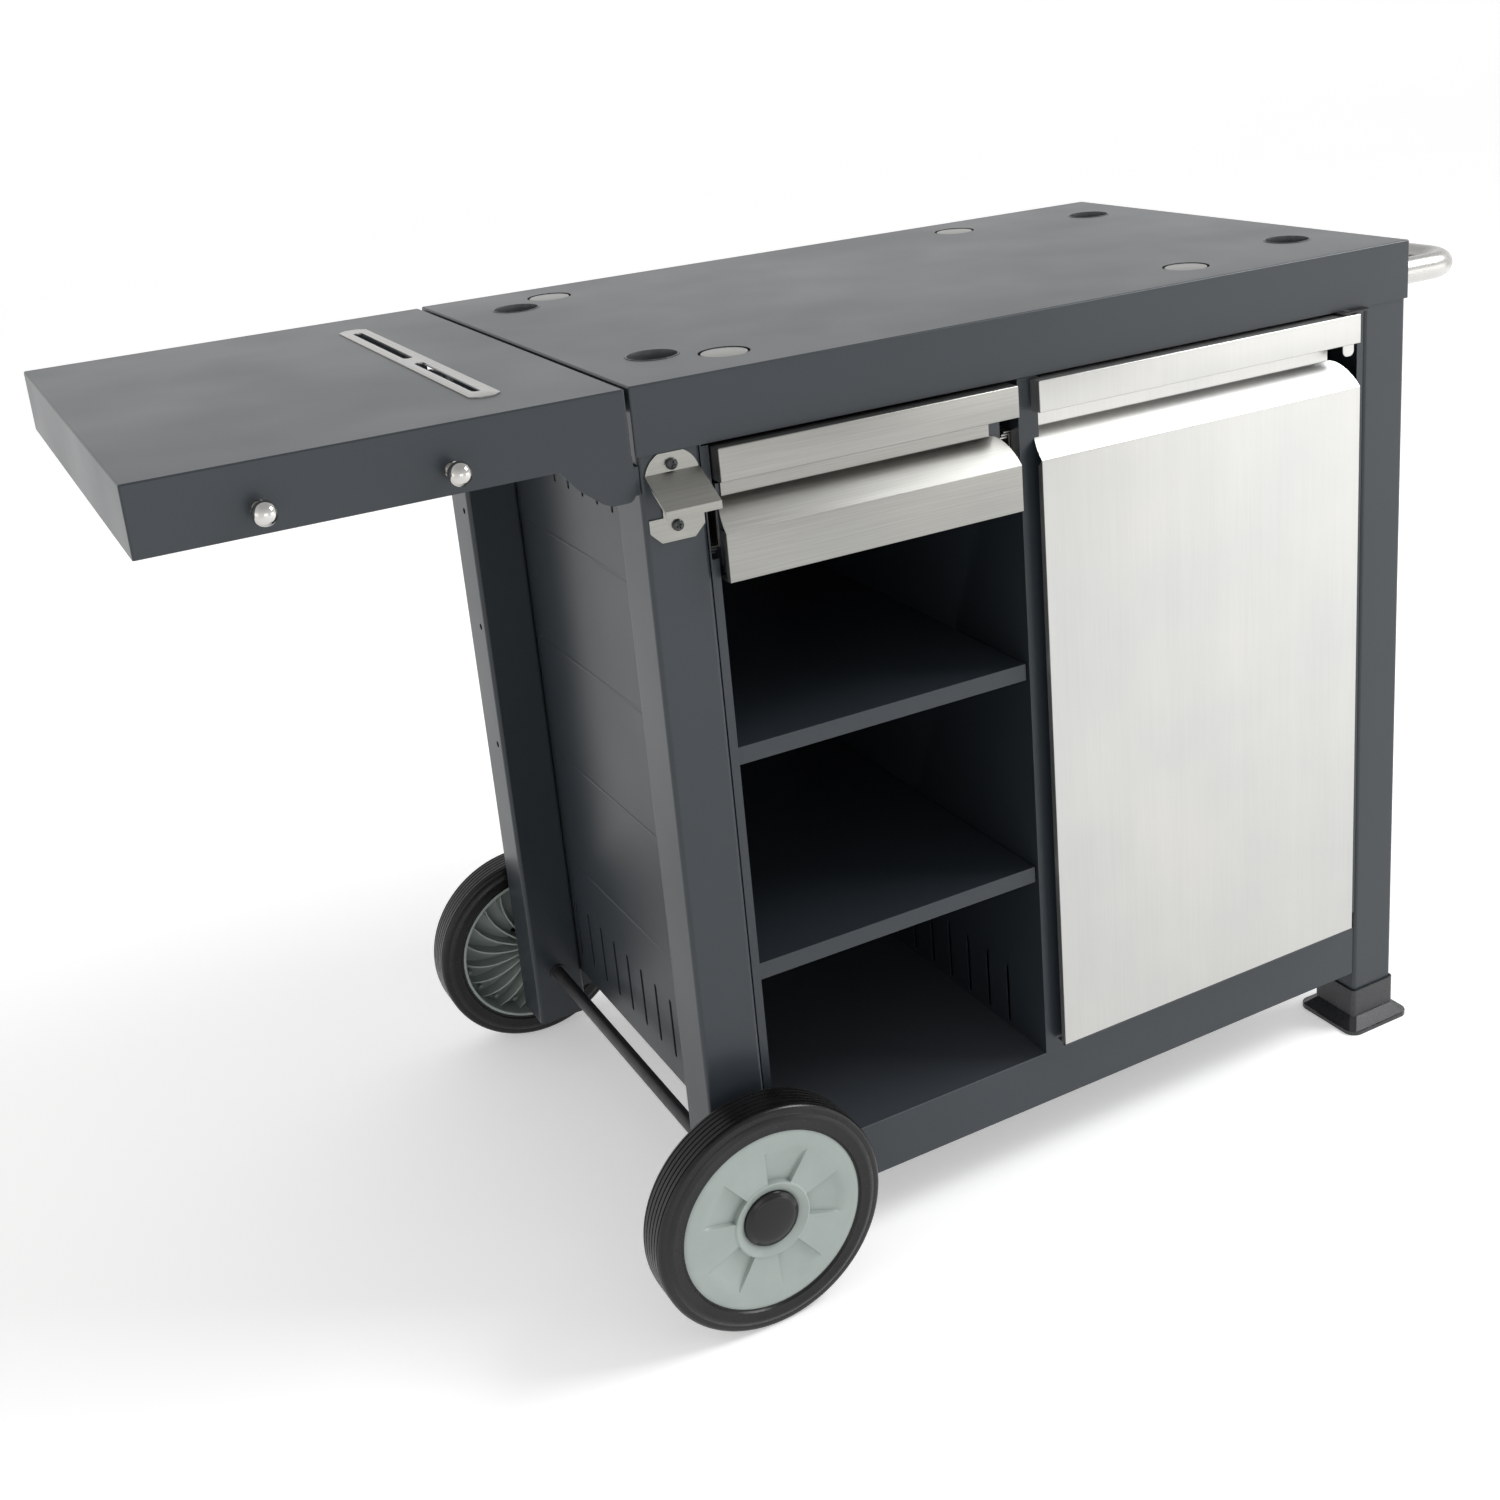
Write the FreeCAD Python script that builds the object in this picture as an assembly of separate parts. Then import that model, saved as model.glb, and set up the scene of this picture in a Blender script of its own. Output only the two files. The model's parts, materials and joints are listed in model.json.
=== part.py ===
"""Rolling griddle cart: a folded-steel cabinet on two wheels and two feet.

Everything is drawn in a cabinet frame, in millimetres: X runs from the left face of the deck to the
right, Y from the front face of the deck to the back, and Z up from the ground. The finished solids
are then moved so that the origin is at the bottom centre of the whole cart.
"""
import FreeCAD, Part
import math
import os

V = FreeCAD.Vector

# ---------------------------------------------------------------- driving dimensions
DECK_W = 787.0           # deck, left to right
DECK_D = 500.0           # deck, front to back
DECK_H = 818.0           # height of the deck's top face
SKIRT = 54.0             # depth of the deck's skirt
SHEET = 1.2              # powder-coated sheet steel
THIN = 1.0               # stainless fronts and inner pans
LEG = 52.0               # square leg tube, outside
LEG_WALL = 1.5
LEG_SETBACK = 2.0        # legs stand this far behind the skirt's front and back faces
LEG_LEFT_FOOT = 50.0     # underside of the two left legs, which stop above the ground
RAIL_H = 52.0            # bottom rails
RAIL_D = 25.0
RAIL_Z = 64.0
RAIL_TOP = RAIL_Z + RAIL_H
FLOOR_TOP = RAIL_TOP + SHEET

SHELF_LEN = 358.0        # folding side shelf, left to right
SHELF_GAP = 3.0          # slot between the side shelf and the deck
SHELF_DROP = 1.0         # the side shelf's top is this much lower than the deck
SHELF_SKIRT = 52.0
EAR_DROP = 16.0          # the hinge ears reach this far below the hinge axis
EAR_ROUND = 7.0
HINGE_X = -18.0          # side shelf hinge axis
HINGE_Z = 747.0
HINGE_PIN_R = 4.0

DIVIDER_X0 = 345.5       # hollow divider between the open bays and the cupboard
DIVIDER_X1 = 365.5
DIVIDER_Y = (3.0, 470.0)
LINER = 6.2              # front return of each side panel, which narrows the opening

FRONT_Y = -12.0          # front plane of the drawer front and the door
WALL_Y = 10.0            # back wall of the finger recess
LIP_TOP = 761.5
LIP_BOTTOM = 734.5
RECESS_FOOT = 718.0      # where the recess wall meets the slope
FACE_TOP = 693.5         # where the slope meets the front face
DRAWER_X = (62.0, 337.0)
DRAWER_BOTTOM = 654.0
DRAWER_BOX_X = (67.4, 332.2)
DRAWER_BOX_Y = (12.0, 432.0)
DRAWER_BOX_Z = (662.0, 728.0)
DOOR_X = (357.5, 716.0)
DOOR_BOTTOM = 130.0
DOOR_AXIS = (708.0, -2.0)
DOOR_PIN_R = 3.0

RUN_FIT = 0.06           # radial clearance of a pin in its hole

WHEEL_X = 27.0
WHEEL_R = 105.0
WHEEL_W = 40.0
RIM_R = 83.4
AXLE_R = 6.5
WHEEL_FACE = -50.0       # outer face of the front wheel

FOOT_FLARE = 14.5        # how far each foot spreads beyond the leg
FOOT_TOP = 44.0

HANDLE_R = 12.5
HANDLE_X = 868.0         # centre line of the grip
HANDLE_Y = 22.0          # centre line of the front arm; the rear arm mirrors it
HANDLE_Z = 784.0
HANDLE_BEND = 32.0

CUPS = [(62.0, 95.0), (62.0, 405.0), (725.0, 95.0), (725.0, 405.0)]
CUP_HOLE_R = 22.0
DISCS = [(108.5, 60.0), (108.5, 440.0), (573.0, 60.0), (573.0, 440.0)]
DISC_HOLE_R = 21.0

# origin: bottom centre of the whole cart, side shelf raised
LEFT_END = -SHELF_GAP - SHELF_LEN
RIGHT_END = HANDLE_X + HANDLE_R
ORIGIN = V((LEFT_END + RIGHT_END) / 2.0, DECK_D / 2.0, 0.0)

X_AXIS, Y_AXIS, Z_AXIS = V(1, 0, 0), V(0, 1, 0), V(0, 0, 1)


# ---------------------------------------------------------------- helpers
def box(x, y, z):
    """A block from three (low, high) pairs."""
    return Part.makeBox(x[1] - x[0], y[1] - y[0], z[1] - z[0], V(x[0], y[0], z[0]))


def rod(radius, start, end):
    """A solid round bar between two points."""
    axis = V(*end) - V(*start)
    return Part.makeCylinder(radius, axis.Length, V(*start), axis)


def ring(outer, inner, start, end):
    """A round tube between two points."""
    return rod(outer, start, end).cut(rod(inner, start, end))


def fuse(shapes):
    """One clean solid from several that touch."""
    return shapes[0].multiFuse(shapes[1:]).removeSplitter()


def group(shapes):
    """Several separate solids in one node."""
    solids = []
    for shape in shapes:
        solids.extend(shape.Solids)
    return Part.makeCompound(solids)


def mirror_y(shape):
    """The same piece at the other end, front to back."""
    return shape.mirror(V(0, DECK_D / 2.0, 0), Y_AXIS)


def extrude_yz(points, x0, x1):
    """A prism along X from an outline of (y, z) points."""
    corners = [V(x0, y, z) for y, z in points]
    return Part.Face(Part.makePolygon(corners + corners[:1])).extrude(V(x1 - x0, 0, 0))


def extrude_xz(points, y0, y1):
    """A prism along Y from an outline of (x, z) points."""
    corners = [V(x, y0, z) for x, z in points]
    return Part.Face(Part.makePolygon(corners + corners[:1])).extrude(V(0, y1 - y0, 0))


def extrude_xy(points, z0, z1):
    """A prism along Z from an outline of (x, y) points."""
    corners = [V(x, y, z0) for x, y in points]
    return Part.Face(Part.makePolygon(corners + corners[:1])).extrude(V(0, 0, z1 - z0))


def revolve_y(points, x, z):
    """A turned piece about the Y direction through (x, z), from (radius, y) points."""
    corners = [V(x + r, y, z) for r, y in points]
    face = Part.Face(Part.makePolygon(corners + corners[:1]))
    return face.revolve(V(x, 0, z), Y_AXIS, 360)


def vertical_edges(shape):
    return [e for e in shape.Edges if e.BoundBox.ZLength > 0.99 * shape.BoundBox.ZLength
            and e.BoundBox.XLength < 0.01 and e.BoundBox.YLength < 0.01]


def upright_edges(shape):
    return [e for e in shape.Edges if e.BoundBox.XLength < 0.01 and e.BoundBox.YLength < 0.01]


def square_tube(x, y, z, wall, corner):
    """An upright square tube with rounded corners."""
    outer = box(x, y, z)
    outer = outer.makeFillet(corner, vertical_edges(outer))
    inner = box((x[0] + wall, x[1] - wall), (y[0] + wall, y[1] - wall), (z[0] - 1, z[1] + 1))
    inner = inner.makeFillet(corner - wall + 0.1, vertical_edges(inner))
    return outer.cut(inner)


def pan_head(point, direction, radius, shank):
    """A pan-head screw whose head sits on `point` and whose shank runs along `direction`."""
    base = V(*point)
    way = V(*direction)
    height = radius * 0.6
    head = Part.makeCylinder(radius, height, base, way * -1)
    rim = [e for e in head.Edges if abs((e.CenterOfMass - base).dot(way) + height) < 0.01]
    head = head.makeFillet(height * 0.6, rim[:1])
    return head.fuse(Part.makeCylinder(radius * 0.48, shank, base, way)).removeSplitter()


def skirted_tray(x, y, top, skirt, sheet, corner):
    """A flat sheet with its four sides folded down."""
    outer = box(x, y, (top - skirt, top))
    soft = [e for e in outer.Edges if e.BoundBox.ZMax > top - 0.01 or e.BoundBox.ZLength > 1]
    soft = [e for e in soft if not (e.BoundBox.ZLength < 0.01 and e.BoundBox.ZMin < top - 1)]
    outer = outer.makeFillet(corner, soft)
    inner = box((x[0] + sheet, x[1] - sheet), (y[0] + sheet, y[1] - sheet),
                (top - skirt - 1, top - sheet))
    return outer.cut(inner)


NODES = {}


def keep(name, shape):
    """Move a finished piece into the part's frame and remember it."""
    moved = shape.copy()
    moved.translate(ORIGIN * -1)
    NODES[name] = moved


# ---------------------------------------------------------------- deck
DECK_UNDER = DECK_H - SHEET
SKIRT_BOTTOM = DECK_H - SKIRT
RETURN_FLANGE = 12.0
LEG_TOP = DECK_UNDER


def make_deck():
    deck = skirted_tray((0, DECK_W), (0, DECK_D), DECK_H, SKIRT, SHEET, 1.8)
    flange = box((SHEET, DECK_W - SHEET), (SHEET, DECK_D - SHEET), (SKIRT_BOTTOM, SKIRT_BOTTOM + SHEET))
    flange = flange.cut(box((LEG + 4, DECK_W - LEG - 4), (RETURN_FLANGE, DECK_D - RETURN_FLANGE),
                            (SKIRT_BOTTOM - 1, SKIRT_BOTTOM + 3)))
    flange = flange.cut(box((-1, LEG + 5), (-1, DECK_D + 1), (SKIRT_BOTTOM - 1, SKIRT_BOTTOM + 3)))
    flange = flange.cut(box((DECK_W - LEG - 5, DECK_W + 1), (-1, DECK_D + 1),
                            (SKIRT_BOTTOM - 1, SKIRT_BOTTOM + 3)))
    deck = fuse([deck] + [f for f in flange.Solids])
    for x, y in CUPS:
        deck = deck.cut(rod(CUP_HOLE_R, (x, y, DECK_UNDER - 1), (x, y, DECK_H + 1)))
    for x, y in DISCS:
        deck = deck.cut(rod(DISC_HOLE_R, (x, y, DECK_UNDER - 1), (x, y, DECK_H + 1)))
    for y in (HANDLE_Y, DECK_D - HANDLE_Y):
        bolt = rod(4.2, (DECK_W - 3, y, HANDLE_Z), (DECK_W + 1, y, HANDLE_Z))
        deck = deck.cut(bolt)
    keep("deck_top", deck)


CUP_DEPTH = 13.0
CUP_WALL = 1.5
CUP_FLOOR = 4.0


def make_deck_inserts():
    cups = []
    screws = []
    for x, y in CUPS:
        body = rod(CUP_HOLE_R - 0.2, (x, y, DECK_H - CUP_DEPTH), (x, y, DECK_H + 0.6))
        flange = rod(CUP_HOLE_R + 4, (x, y, DECK_UNDER - 1.6), (x, y, DECK_UNDER))
        floor = DECK_H - CUP_DEPTH + CUP_FLOOR
        cavity = rod(CUP_HOLE_R - 0.2 - CUP_WALL, (x, y, floor), (x, y, DECK_H + 1))
        cup = body.fuse(flange).cut(cavity).removeSplitter()
        for side in (-9, 9):
            seat = floor - 2.3
            cup = cup.cut(rod(3.8, (x + side, y, seat), (x + side, y, floor + 1)))
            screw = pan_head((x + side, y, seat), (0, 0, -1), 3.5, 1.6)
            cup = cup.cut(screw)
            screws.append(screw)
        cups.append(cup)
    keep("foot_cups", group(cups))
    keep("foot_cup_screws", group(screws))
    discs = []
    for x, y in DISCS:
        seat = rod(DISC_HOLE_R + 4, (x, y, DECK_UNDER - 2.5), (x, y, DECK_UNDER))
        pad = rod(DISC_HOLE_R - 2.0, (x, y, DECK_UNDER - 1), (x, y, DECK_H - 0.4))
        discs.append(seat.fuse(pad).removeSplitter())
    keep("landing_discs", group(discs))
    braces = []
    for y in (150.0, 350.0):
        z = (DECK_UNDER - 20, DECK_UNDER)
        hat = box((LEG + 4, DECK_W - LEG - 4), (y - 15, y + 15), z)
        hollow = box((LEG, DECK_W - LEG), (y - 15 + SHEET, y + 15 - SHEET), (z[0] + SHEET, z[1] + 1))
        braces.append(hat.cut(hollow))
    keep("deck_braces", group(braces))


# ---------------------------------------------------------------- legs, rails and panels
LEG_Y_FRONT = (LEG_SETBACK, LEG_SETBACK + LEG)
LEG_Y_REAR = (DECK_D - LEG_SETBACK - LEG, DECK_D - LEG_SETBACK)
LEG_X_LEFT = (SHEET + 0.3, SHEET + 0.3 + LEG)
LEG_X_RIGHT = (DECK_W - SHEET - 0.3 - LEG, DECK_W - SHEET - 0.3)
PANEL_LEFT = LEG_X_LEFT[1]
PANEL_RIGHT = LEG_X_RIGHT[0]
FOOT_SOLE = 6.0


def make_legs():
    for end, y in (("front", LEG_Y_FRONT), ("rear", LEG_Y_REAR)):
        left = square_tube(LEG_X_LEFT, y, (LEG_LEFT_FOOT, LEG_TOP), LEG_WALL, 4.0)
        left = left.cut(rod(AXLE_R + 2.5, (WHEEL_X, y[0] - 5, WHEEL_R), (WHEEL_X, y[1] + 5, WHEEL_R)))
        if end == "rear":
            for z in (621.0, 500.0, 372.0):
                left = left.cut(rod(3.2, (-2, y[0] + 14, z), (SHEET + 6, y[0] + 14, z)))
        keep("leg_" + end + "_left", left)
        right = square_tube(LEG_X_RIGHT, y, (FOOT_SOLE, LEG_TOP), LEG_WALL, 4.0)
        bolt_y = HANDLE_Y if end == "front" else DECK_D - HANDLE_Y
        right = right.cut(rod(4.2, (DECK_W - 8, bolt_y, HANDLE_Z), (DECK_W + 1, bolt_y, HANDLE_Z)))
        keep("leg_" + end + "_right", right)


def make_foot_caps():
    for end, y in (("front", LEG_Y_FRONT), ("rear", LEG_Y_REAR)):
        x = LEG_X_RIGHT
        wrap = 2.2
        sleeve = box((x[0] - wrap, x[1] + wrap), (y[0] - wrap, y[1] + wrap), (3, FOOT_TOP))
        sleeve = sleeve.makeFillet(4.5, vertical_edges(sleeve))
        spread = FOOT_FLARE
        base = box((x[0] - spread, x[1] + spread), (y[0] - spread, y[1] + spread), (0, 4))
        base = base.makeFillet(12.0, vertical_edges(base))
        lower = Part.makePolygon([V(px, py, 4) for px, py in corners(x, y, spread - 1.5)])
        upper = Part.makePolygon([V(px, py, 14) for px, py in corners(x, y, wrap + 0.5)])
        flare = Part.makeLoft([lower, upper], True)
        socket = box((x[0] - 0.2, x[1] + 0.2), (y[0] - 0.2, y[1] + 0.2), (FOOT_SOLE, FOOT_TOP + 1))
        keep("foot_cap_" + end, fuse([sleeve, base, flare]).cut(socket))


def corners(x, y, grow):
    """A closed square outline with clipped corners around a leg."""
    x0, x1, y0, y1 = x[0] - grow, x[1] + grow, y[0] - grow, y[1] + grow
    clip = 5.0
    points = [(x0 + clip, y0), (x1 - clip, y0), (x1, y0 + clip), (x1, y1 - clip),
              (x1 - clip, y1), (x0 + clip, y1), (x0, y1 - clip), (x0, y0 + clip)]
    return points + points[:1]


def make_rails():
    x = (LEG_X_LEFT[1], LEG_X_RIGHT[0])
    for end in ("front", "rear"):
        y0 = LEG_SETBACK + 2
        outer = box(x, (y0, y0 + RAIL_D), (RAIL_Z, RAIL_TOP))
        inner = box((x[0] - 1, x[1] + 1), (y0 + LEG_WALL, y0 + RAIL_D - LEG_WALL),
                    (RAIL_Z + LEG_WALL, RAIL_TOP - LEG_WALL))
        rail = outer.cut(inner)
        keep("bottom_rail_" + end, rail if end == "front" else mirror_y(rail))


RUNNER_Z = 695.0
RUNNER_Y = (14.0, 432.0)
RUNNER_SHEET = 1.2
RUNNER_HALF = 22.5       # half the height of the fixed runner member

VENT_COUNT = 12
VENT_PITCH = 34.0
VENT_W = 5.0
VENT_H = 60.0
VENT_ROWS = (122.0, 666.0)
BEADS = (608.0, 484.0, 360.0, 236.0)
BEAD_R = 6.0
BEAD_DEEP = 0.35         # stiffening lines pressed into the side panels
PANEL_BOTTOM = 98.0


def vent_cutters(x0, x1, rows):
    cutters = []
    for row in rows:
        for i in range(VENT_COUNT):
            y = DECK_D / 2.0 + (i - (VENT_COUNT - 1) / 2.0) * VENT_PITCH
            slot = box((x0, x1), (y - VENT_W / 2, y + VENT_W / 2), (row + VENT_W / 2, row + VENT_H))
            ends = [rod(VENT_W / 2, (x0, y, z), (x1, y, z)) for z in (row + VENT_W / 2, row + VENT_H)]
            cutters.append(slot.fuse(ends))
    return cutters


def make_side_panels():
    """Each side panel stands on the inner faces of its two legs and returns inwards at the front."""
    for name, face, way in (("left", PANEL_LEFT, 1.0), ("right", PANEL_RIGHT, -1.0)):
        xs = sorted((face, face + way * SHEET))
        fold = sorted((face, face + way * (SHEET + LINER)))
        ys = (LEG_Y_FRONT[0] + 1, LEG_Y_REAR[1])
        skin = box(xs, ys, (PANEL_BOTTOM, DECK_UNDER - 21))
        skin = skin.cut(box((xs[0] - 1, xs[1] + 1), (0, LEG_SETBACK + 2 + RAIL_D + 0.3),
                            (PANEL_BOTTOM - 1, RAIL_TOP)))
        skin = skin.cut(box((xs[0] - 1, xs[1] + 1), (DECK_D - LEG_SETBACK - 2.3 - RAIL_D, DECK_D),
                            (PANEL_BOTTOM - 1, RAIL_TOP)))
        lip = box(fold, (ys[0], ys[0] + SHEET), (FLOOR_TOP + 0.2, SKIRT_BOTTOM - 2))
        panel = fuse([skin, lip])
        panel = panel.cut(Part.makeCompound(vent_cutters(xs[0] - 1, xs[1] + 1, VENT_ROWS)))
        for z in BEADS:
            y0, y1 = LEG_Y_FRONT[1] + 12, LEG_Y_REAR[0] - 12
            groove = rod(BEAD_R, (face - way * (BEAD_R - BEAD_DEEP), y0, z),
                         (face - way * (BEAD_R - BEAD_DEEP), y1, z))
            panel = panel.cut(groove)
        if name == "right":
            panel = panel.cut(box((face - 20, face + 1), (0, 60), (DOOR_BOTTOM - 14, DOOR_BOTTOM + 6)))
        if name == "left":
            way_out = box((face + SHEET, face + SHEET + LINER + 1), (0, 10),
                          (RUNNER_Z - RUNNER_HALF - 1.5, RUNNER_Z + RUNNER_HALF + 1.5))
            panel = panel.cut(way_out)
        keep("side_panel_" + name, panel.removeSplitter())


def make_divider():
    x = (DIVIDER_X0, DIVIDER_X1)
    z = (FLOOR_TOP, DECK_UNDER - 21)
    y = DIVIDER_Y
    front = box(x, y, z).cut(box((x[0] + SHEET, x[1] - SHEET), (y[0] + SHEET, y[1] + 1),
                                 (z[0] - 1, z[1] + 1)))
    front = front.cut(box((x[0] - 1, x[1] + 1), (-5, RETURN_FLANGE + 1), (SKIRT_BOTTOM - 1, z[1] + 1)))
    front = front.cut(Part.makeCompound(vent_cutters(x[0] - 1, x[1] + 1, VENT_ROWS[:1])))
    keep("divider_panel", front)


def make_back_and_floor():
    x = (PANEL_LEFT + SHEET + 0.2, PANEL_RIGHT - SHEET - 0.2)
    y1 = LEG_Y_REAR[1]
    top = SKIRT_BOTTOM - 1
    back = box(x, (y1 - 1 - SHEET, y1 - 1), (FLOOR_TOP + 0.2, top))
    fold = box(x, (y1 - 16, y1 - 1), (top - SHEET, top))
    keep("back_panel", fuse([back, fold]))
    floor = box(x, (LEG_SETBACK + 2, DECK_D - LEG_SETBACK - 2), (RAIL_TOP, FLOOR_TOP))
    lips = [box(x, (LEG_SETBACK + 2.4 + RAIL_D, LEG_SETBACK + 2.4 + RAIL_D + SHEET),
                (RAIL_TOP - 20, RAIL_TOP + 0.5))]
    lips.append(mirror_y(lips[0]))
    keep("floor_panel", fuse([floor] + lips))


BAY_SHELVES = (("bay_shelf_upper", 509.5), ("bay_shelf_lower", 312.0))
BAY_SHELF_LIP = 15.5


def make_bay_shelves():
    x = (PANEL_LEFT + SHEET + LINER + 0.4, DIVIDER_X0 - 1.5)
    clips = []
    for name, top in BAY_SHELVES:
        deck = box(x, (6, 470), (top - THIN, top))
        lips = [box(x, (6, 6 + THIN), (top - BAY_SHELF_LIP, top)),
                box(x, (6, 16), (top - BAY_SHELF_LIP, top - BAY_SHELF_LIP + THIN)),
                box(x, (470 - THIN, 470), (top - BAY_SHELF_LIP, top)),
                box((x[0], x[0] + THIN), (6, 470), (top - BAY_SHELF_LIP, top)),
                box((x[1] - THIN, x[1]), (6, 470), (top - BAY_SHELF_LIP, top))]
        keep(name, fuse([deck] + lips))
        under = top - BAY_SHELF_LIP
        for y in (70.0, 400.0):
            left = box((PANEL_LEFT + SHEET, x[0] + 12), (y, y + 20), (under - 1.5, under))
            left = left.fuse(box((PANEL_LEFT + SHEET, PANEL_LEFT + SHEET + 1.5), (y, y + 20),
                                 (under - 5, under)))
            right = box((x[1] - 12, DIVIDER_X0), (y, y + 20), (under - 1.5, under))
            right = right.fuse(box((DIVIDER_X0 - 1.5, DIVIDER_X0), (y, y + 20), (under - 18, under)))
            clips.extend([left.removeSplitter(), right.removeSplitter()])
    keep("bay_shelf_clips", group(clips))


# ---------------------------------------------------------------- drawer


def channel(x0, x1, web_left, half_height):
    """A C-section runner member with its web on the left or on the right."""
    z = (RUNNER_Z - half_height, RUNNER_Z + half_height)
    outer = box((x0, x1), RUNNER_Y, z)
    gap = (x0 + RUNNER_SHEET, x1 + 1) if web_left else (x0 - 1, x1 - RUNNER_SHEET)
    return outer.cut(box(gap, (RUNNER_Y[0] - 1, RUNNER_Y[1] + 1), (z[0] + RUNNER_SHEET, z[1] - RUNNER_SHEET)))


def make_runners():
    left_wall = PANEL_LEFT + SHEET
    left_box = DRAWER_BOX_X[0]
    right_wall = DIVIDER_X0
    right_box = DRAWER_BOX_X[1]
    step = 2.2
    half_middle, half_inner = RUNNER_HALF - step, RUNNER_HALF - 2 * step
    outer = [channel(left_wall, left_wall + 8.0, True, RUNNER_HALF),
             channel(right_wall - 8.0, right_wall, False, RUNNER_HALF)]
    middle = [channel(left_wall + step, left_wall + 10.4, True, half_middle),
              channel(right_wall - 10.4, right_wall - step, False, half_middle)]
    inner = [channel(left_wall + 4.6, left_box, False, half_inner),
             channel(right_box, right_wall - 4.6, True, half_inner)]
    keep("drawer_runner_outer", group(outer))
    keep("drawer_runner_middle", group(middle))
    keep("drawer_runner_inner", group(inner))


def folded_front(x, bottom, back, lip_back, wall_x):
    """A stainless front: outer face at FRONT_Y, lip on top, wall and slope of the finger recess."""
    t = THIN
    lip = [box(x, (FRONT_Y, FRONT_Y + t), (LIP_BOTTOM, LIP_TOP)),
           box(x, (FRONT_Y, FRONT_Y + 6), (LIP_BOTTOM, LIP_BOTTOM + t)),
           box(x, (FRONT_Y, lip_back), (LIP_TOP - t, LIP_TOP)),
           box(wall_x, (FRONT_Y, WALL_Y + t), (LIP_TOP - t, LIP_TOP)),
           box((x[0], x[0] + t), (FRONT_Y, lip_back), (LIP_BOTTOM, LIP_TOP)),
           box((x[1] - t, x[1]), (FRONT_Y, lip_back), (LIP_BOTTOM, LIP_TOP))]
    wall = box(wall_x, (WALL_Y, WALL_Y + t), (RECESS_FOOT - 0.5, LIP_TOP))
    run = WALL_Y - FRONT_Y
    rise = RECESS_FOOT - FACE_TOP
    drop = t * math.hypot(run, rise) / run
    slope = extrude_yz([(FRONT_Y, FACE_TOP), (WALL_Y, RECESS_FOOT), (WALL_Y + t, RECESS_FOOT),
                        (WALL_Y + t, RECESS_FOOT - drop), (FRONT_Y, FACE_TOP - drop)], x[0], x[1])
    for end, wall_end in ((x[0], wall_x[0]), (x[1], wall_x[1])):
        notch = extrude_xy([(end, FRONT_Y + 3), (wall_end, WALL_Y - 4), (wall_end, WALL_Y + 3),
                            (end + (end - wall_end), WALL_Y + 3)], FACE_TOP - 5, RECESS_FOOT + 5)
        slope = slope.cut(notch)
    face = [box(x, (FRONT_Y, FRONT_Y + t), (bottom, FACE_TOP)),
            box(x, (FRONT_Y, back), (bottom, bottom + t)),
            box((x[0], x[0] + t), (FRONT_Y, FRONT_Y + 5), (bottom, FACE_TOP - 1)),
            box((x[1] - t, x[1]), (FRONT_Y, FRONT_Y + 5), (bottom, FACE_TOP - 1))]
    return fuse(lip + [wall, slope] + face)


def make_drawer():
    wall_x = (DRAWER_X[0] + 9, DRAWER_X[1] - 17)
    front = folded_front(DRAWER_X, DRAWER_BOTTOM, 8.0, WALL_Y + THIN, wall_x)
    keep("drawer_front", front)
    x = (DRAWER_X[0] + 6, DRAWER_X[1] - 6)
    backer = box(x, (FRONT_Y + 1.2, DRAWER_BOX_Y[0] - 0.2), (DRAWER_BOTTOM + 1.2, FACE_TOP - 3))
    backer = backer.cut(box((x[0] + THIN, x[1] - THIN), (FRONT_Y - 5, DRAWER_BOX_Y[0] - 0.2 - THIN),
                            (DRAWER_BOTTOM + 2.2, FACE_TOP + 1)))
    keep("drawer_front_backer", backer)
    x, y, z = DRAWER_BOX_X, DRAWER_BOX_Y, DRAWER_BOX_Z
    tray = box(x, y, z).cut(box((x[0] + THIN, x[1] - THIN), (y[0] + THIN, y[1] - THIN), (z[0] + THIN, z[1] + 1)))
    keep("drawer_box", tray)
    screws = []
    for sx in (110.0, 290.0):
        screws.append(pan_head((sx, y[0] + THIN, 680.0), (0, -1, 0), 4.5, 2.0))
    keep("drawer_screws", group(screws))


# ---------------------------------------------------------------- door
def make_door():
    wall_x = (DIVIDER_X1 + 3.5, DOOR_X[1] - 20)
    skin = folded_front(DOOR_X, DOOR_BOTTOM, 1.0, 1.0, wall_x)
    keep_out = box((DOOR_X[0] - 1, wall_x[0]), (1.0, 30), (DOOR_BOTTOM - 1, LIP_TOP + 1))
    skin = skin.cut(keep_out)
    ax, ay = DOOR_AXIS
    skin = skin.cut(rod(DOOR_PIN_R + 0.6, (ax, ay, LIP_TOP - 3), (ax, ay, LIP_TOP + 3)))
    skin = skin.cut(rod(DOOR_PIN_R + 0.6, (ax, ay, DOOR_BOTTOM - 3), (ax, ay, DOOR_BOTTOM + 3)))
    keep("door_skin", skin)
    x = (DIVIDER_X1 + 3.5, 699.0)
    z = (DOOR_BOTTOM + 1.2, FACE_TOP - 3)
    pan = box(x, (FRONT_Y + 1.2, 7.0), z)
    pan = pan.cut(box((x[0] + THIN, x[1] - THIN), (FRONT_Y, 7.0 - THIN), (z[0] + THIN, z[1] - THIN)))
    keep("door_inner_pan", pan)
    bushes = [ring(6.0, DOOR_PIN_R + RUN_FIT, (ax, ay, LIP_TOP - 6), (ax, ay, LIP_TOP - THIN)),
              ring(6.0, DOOR_PIN_R + RUN_FIT, (ax, ay, DOOR_BOTTOM + THIN), (ax, ay, DOOR_BOTTOM + 7))]
    keep("door_hinge_bushes", group(bushes))
    keep("door_strike_plate", box((372, 386), (7.0, 8.2), (424, 456)))


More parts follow.
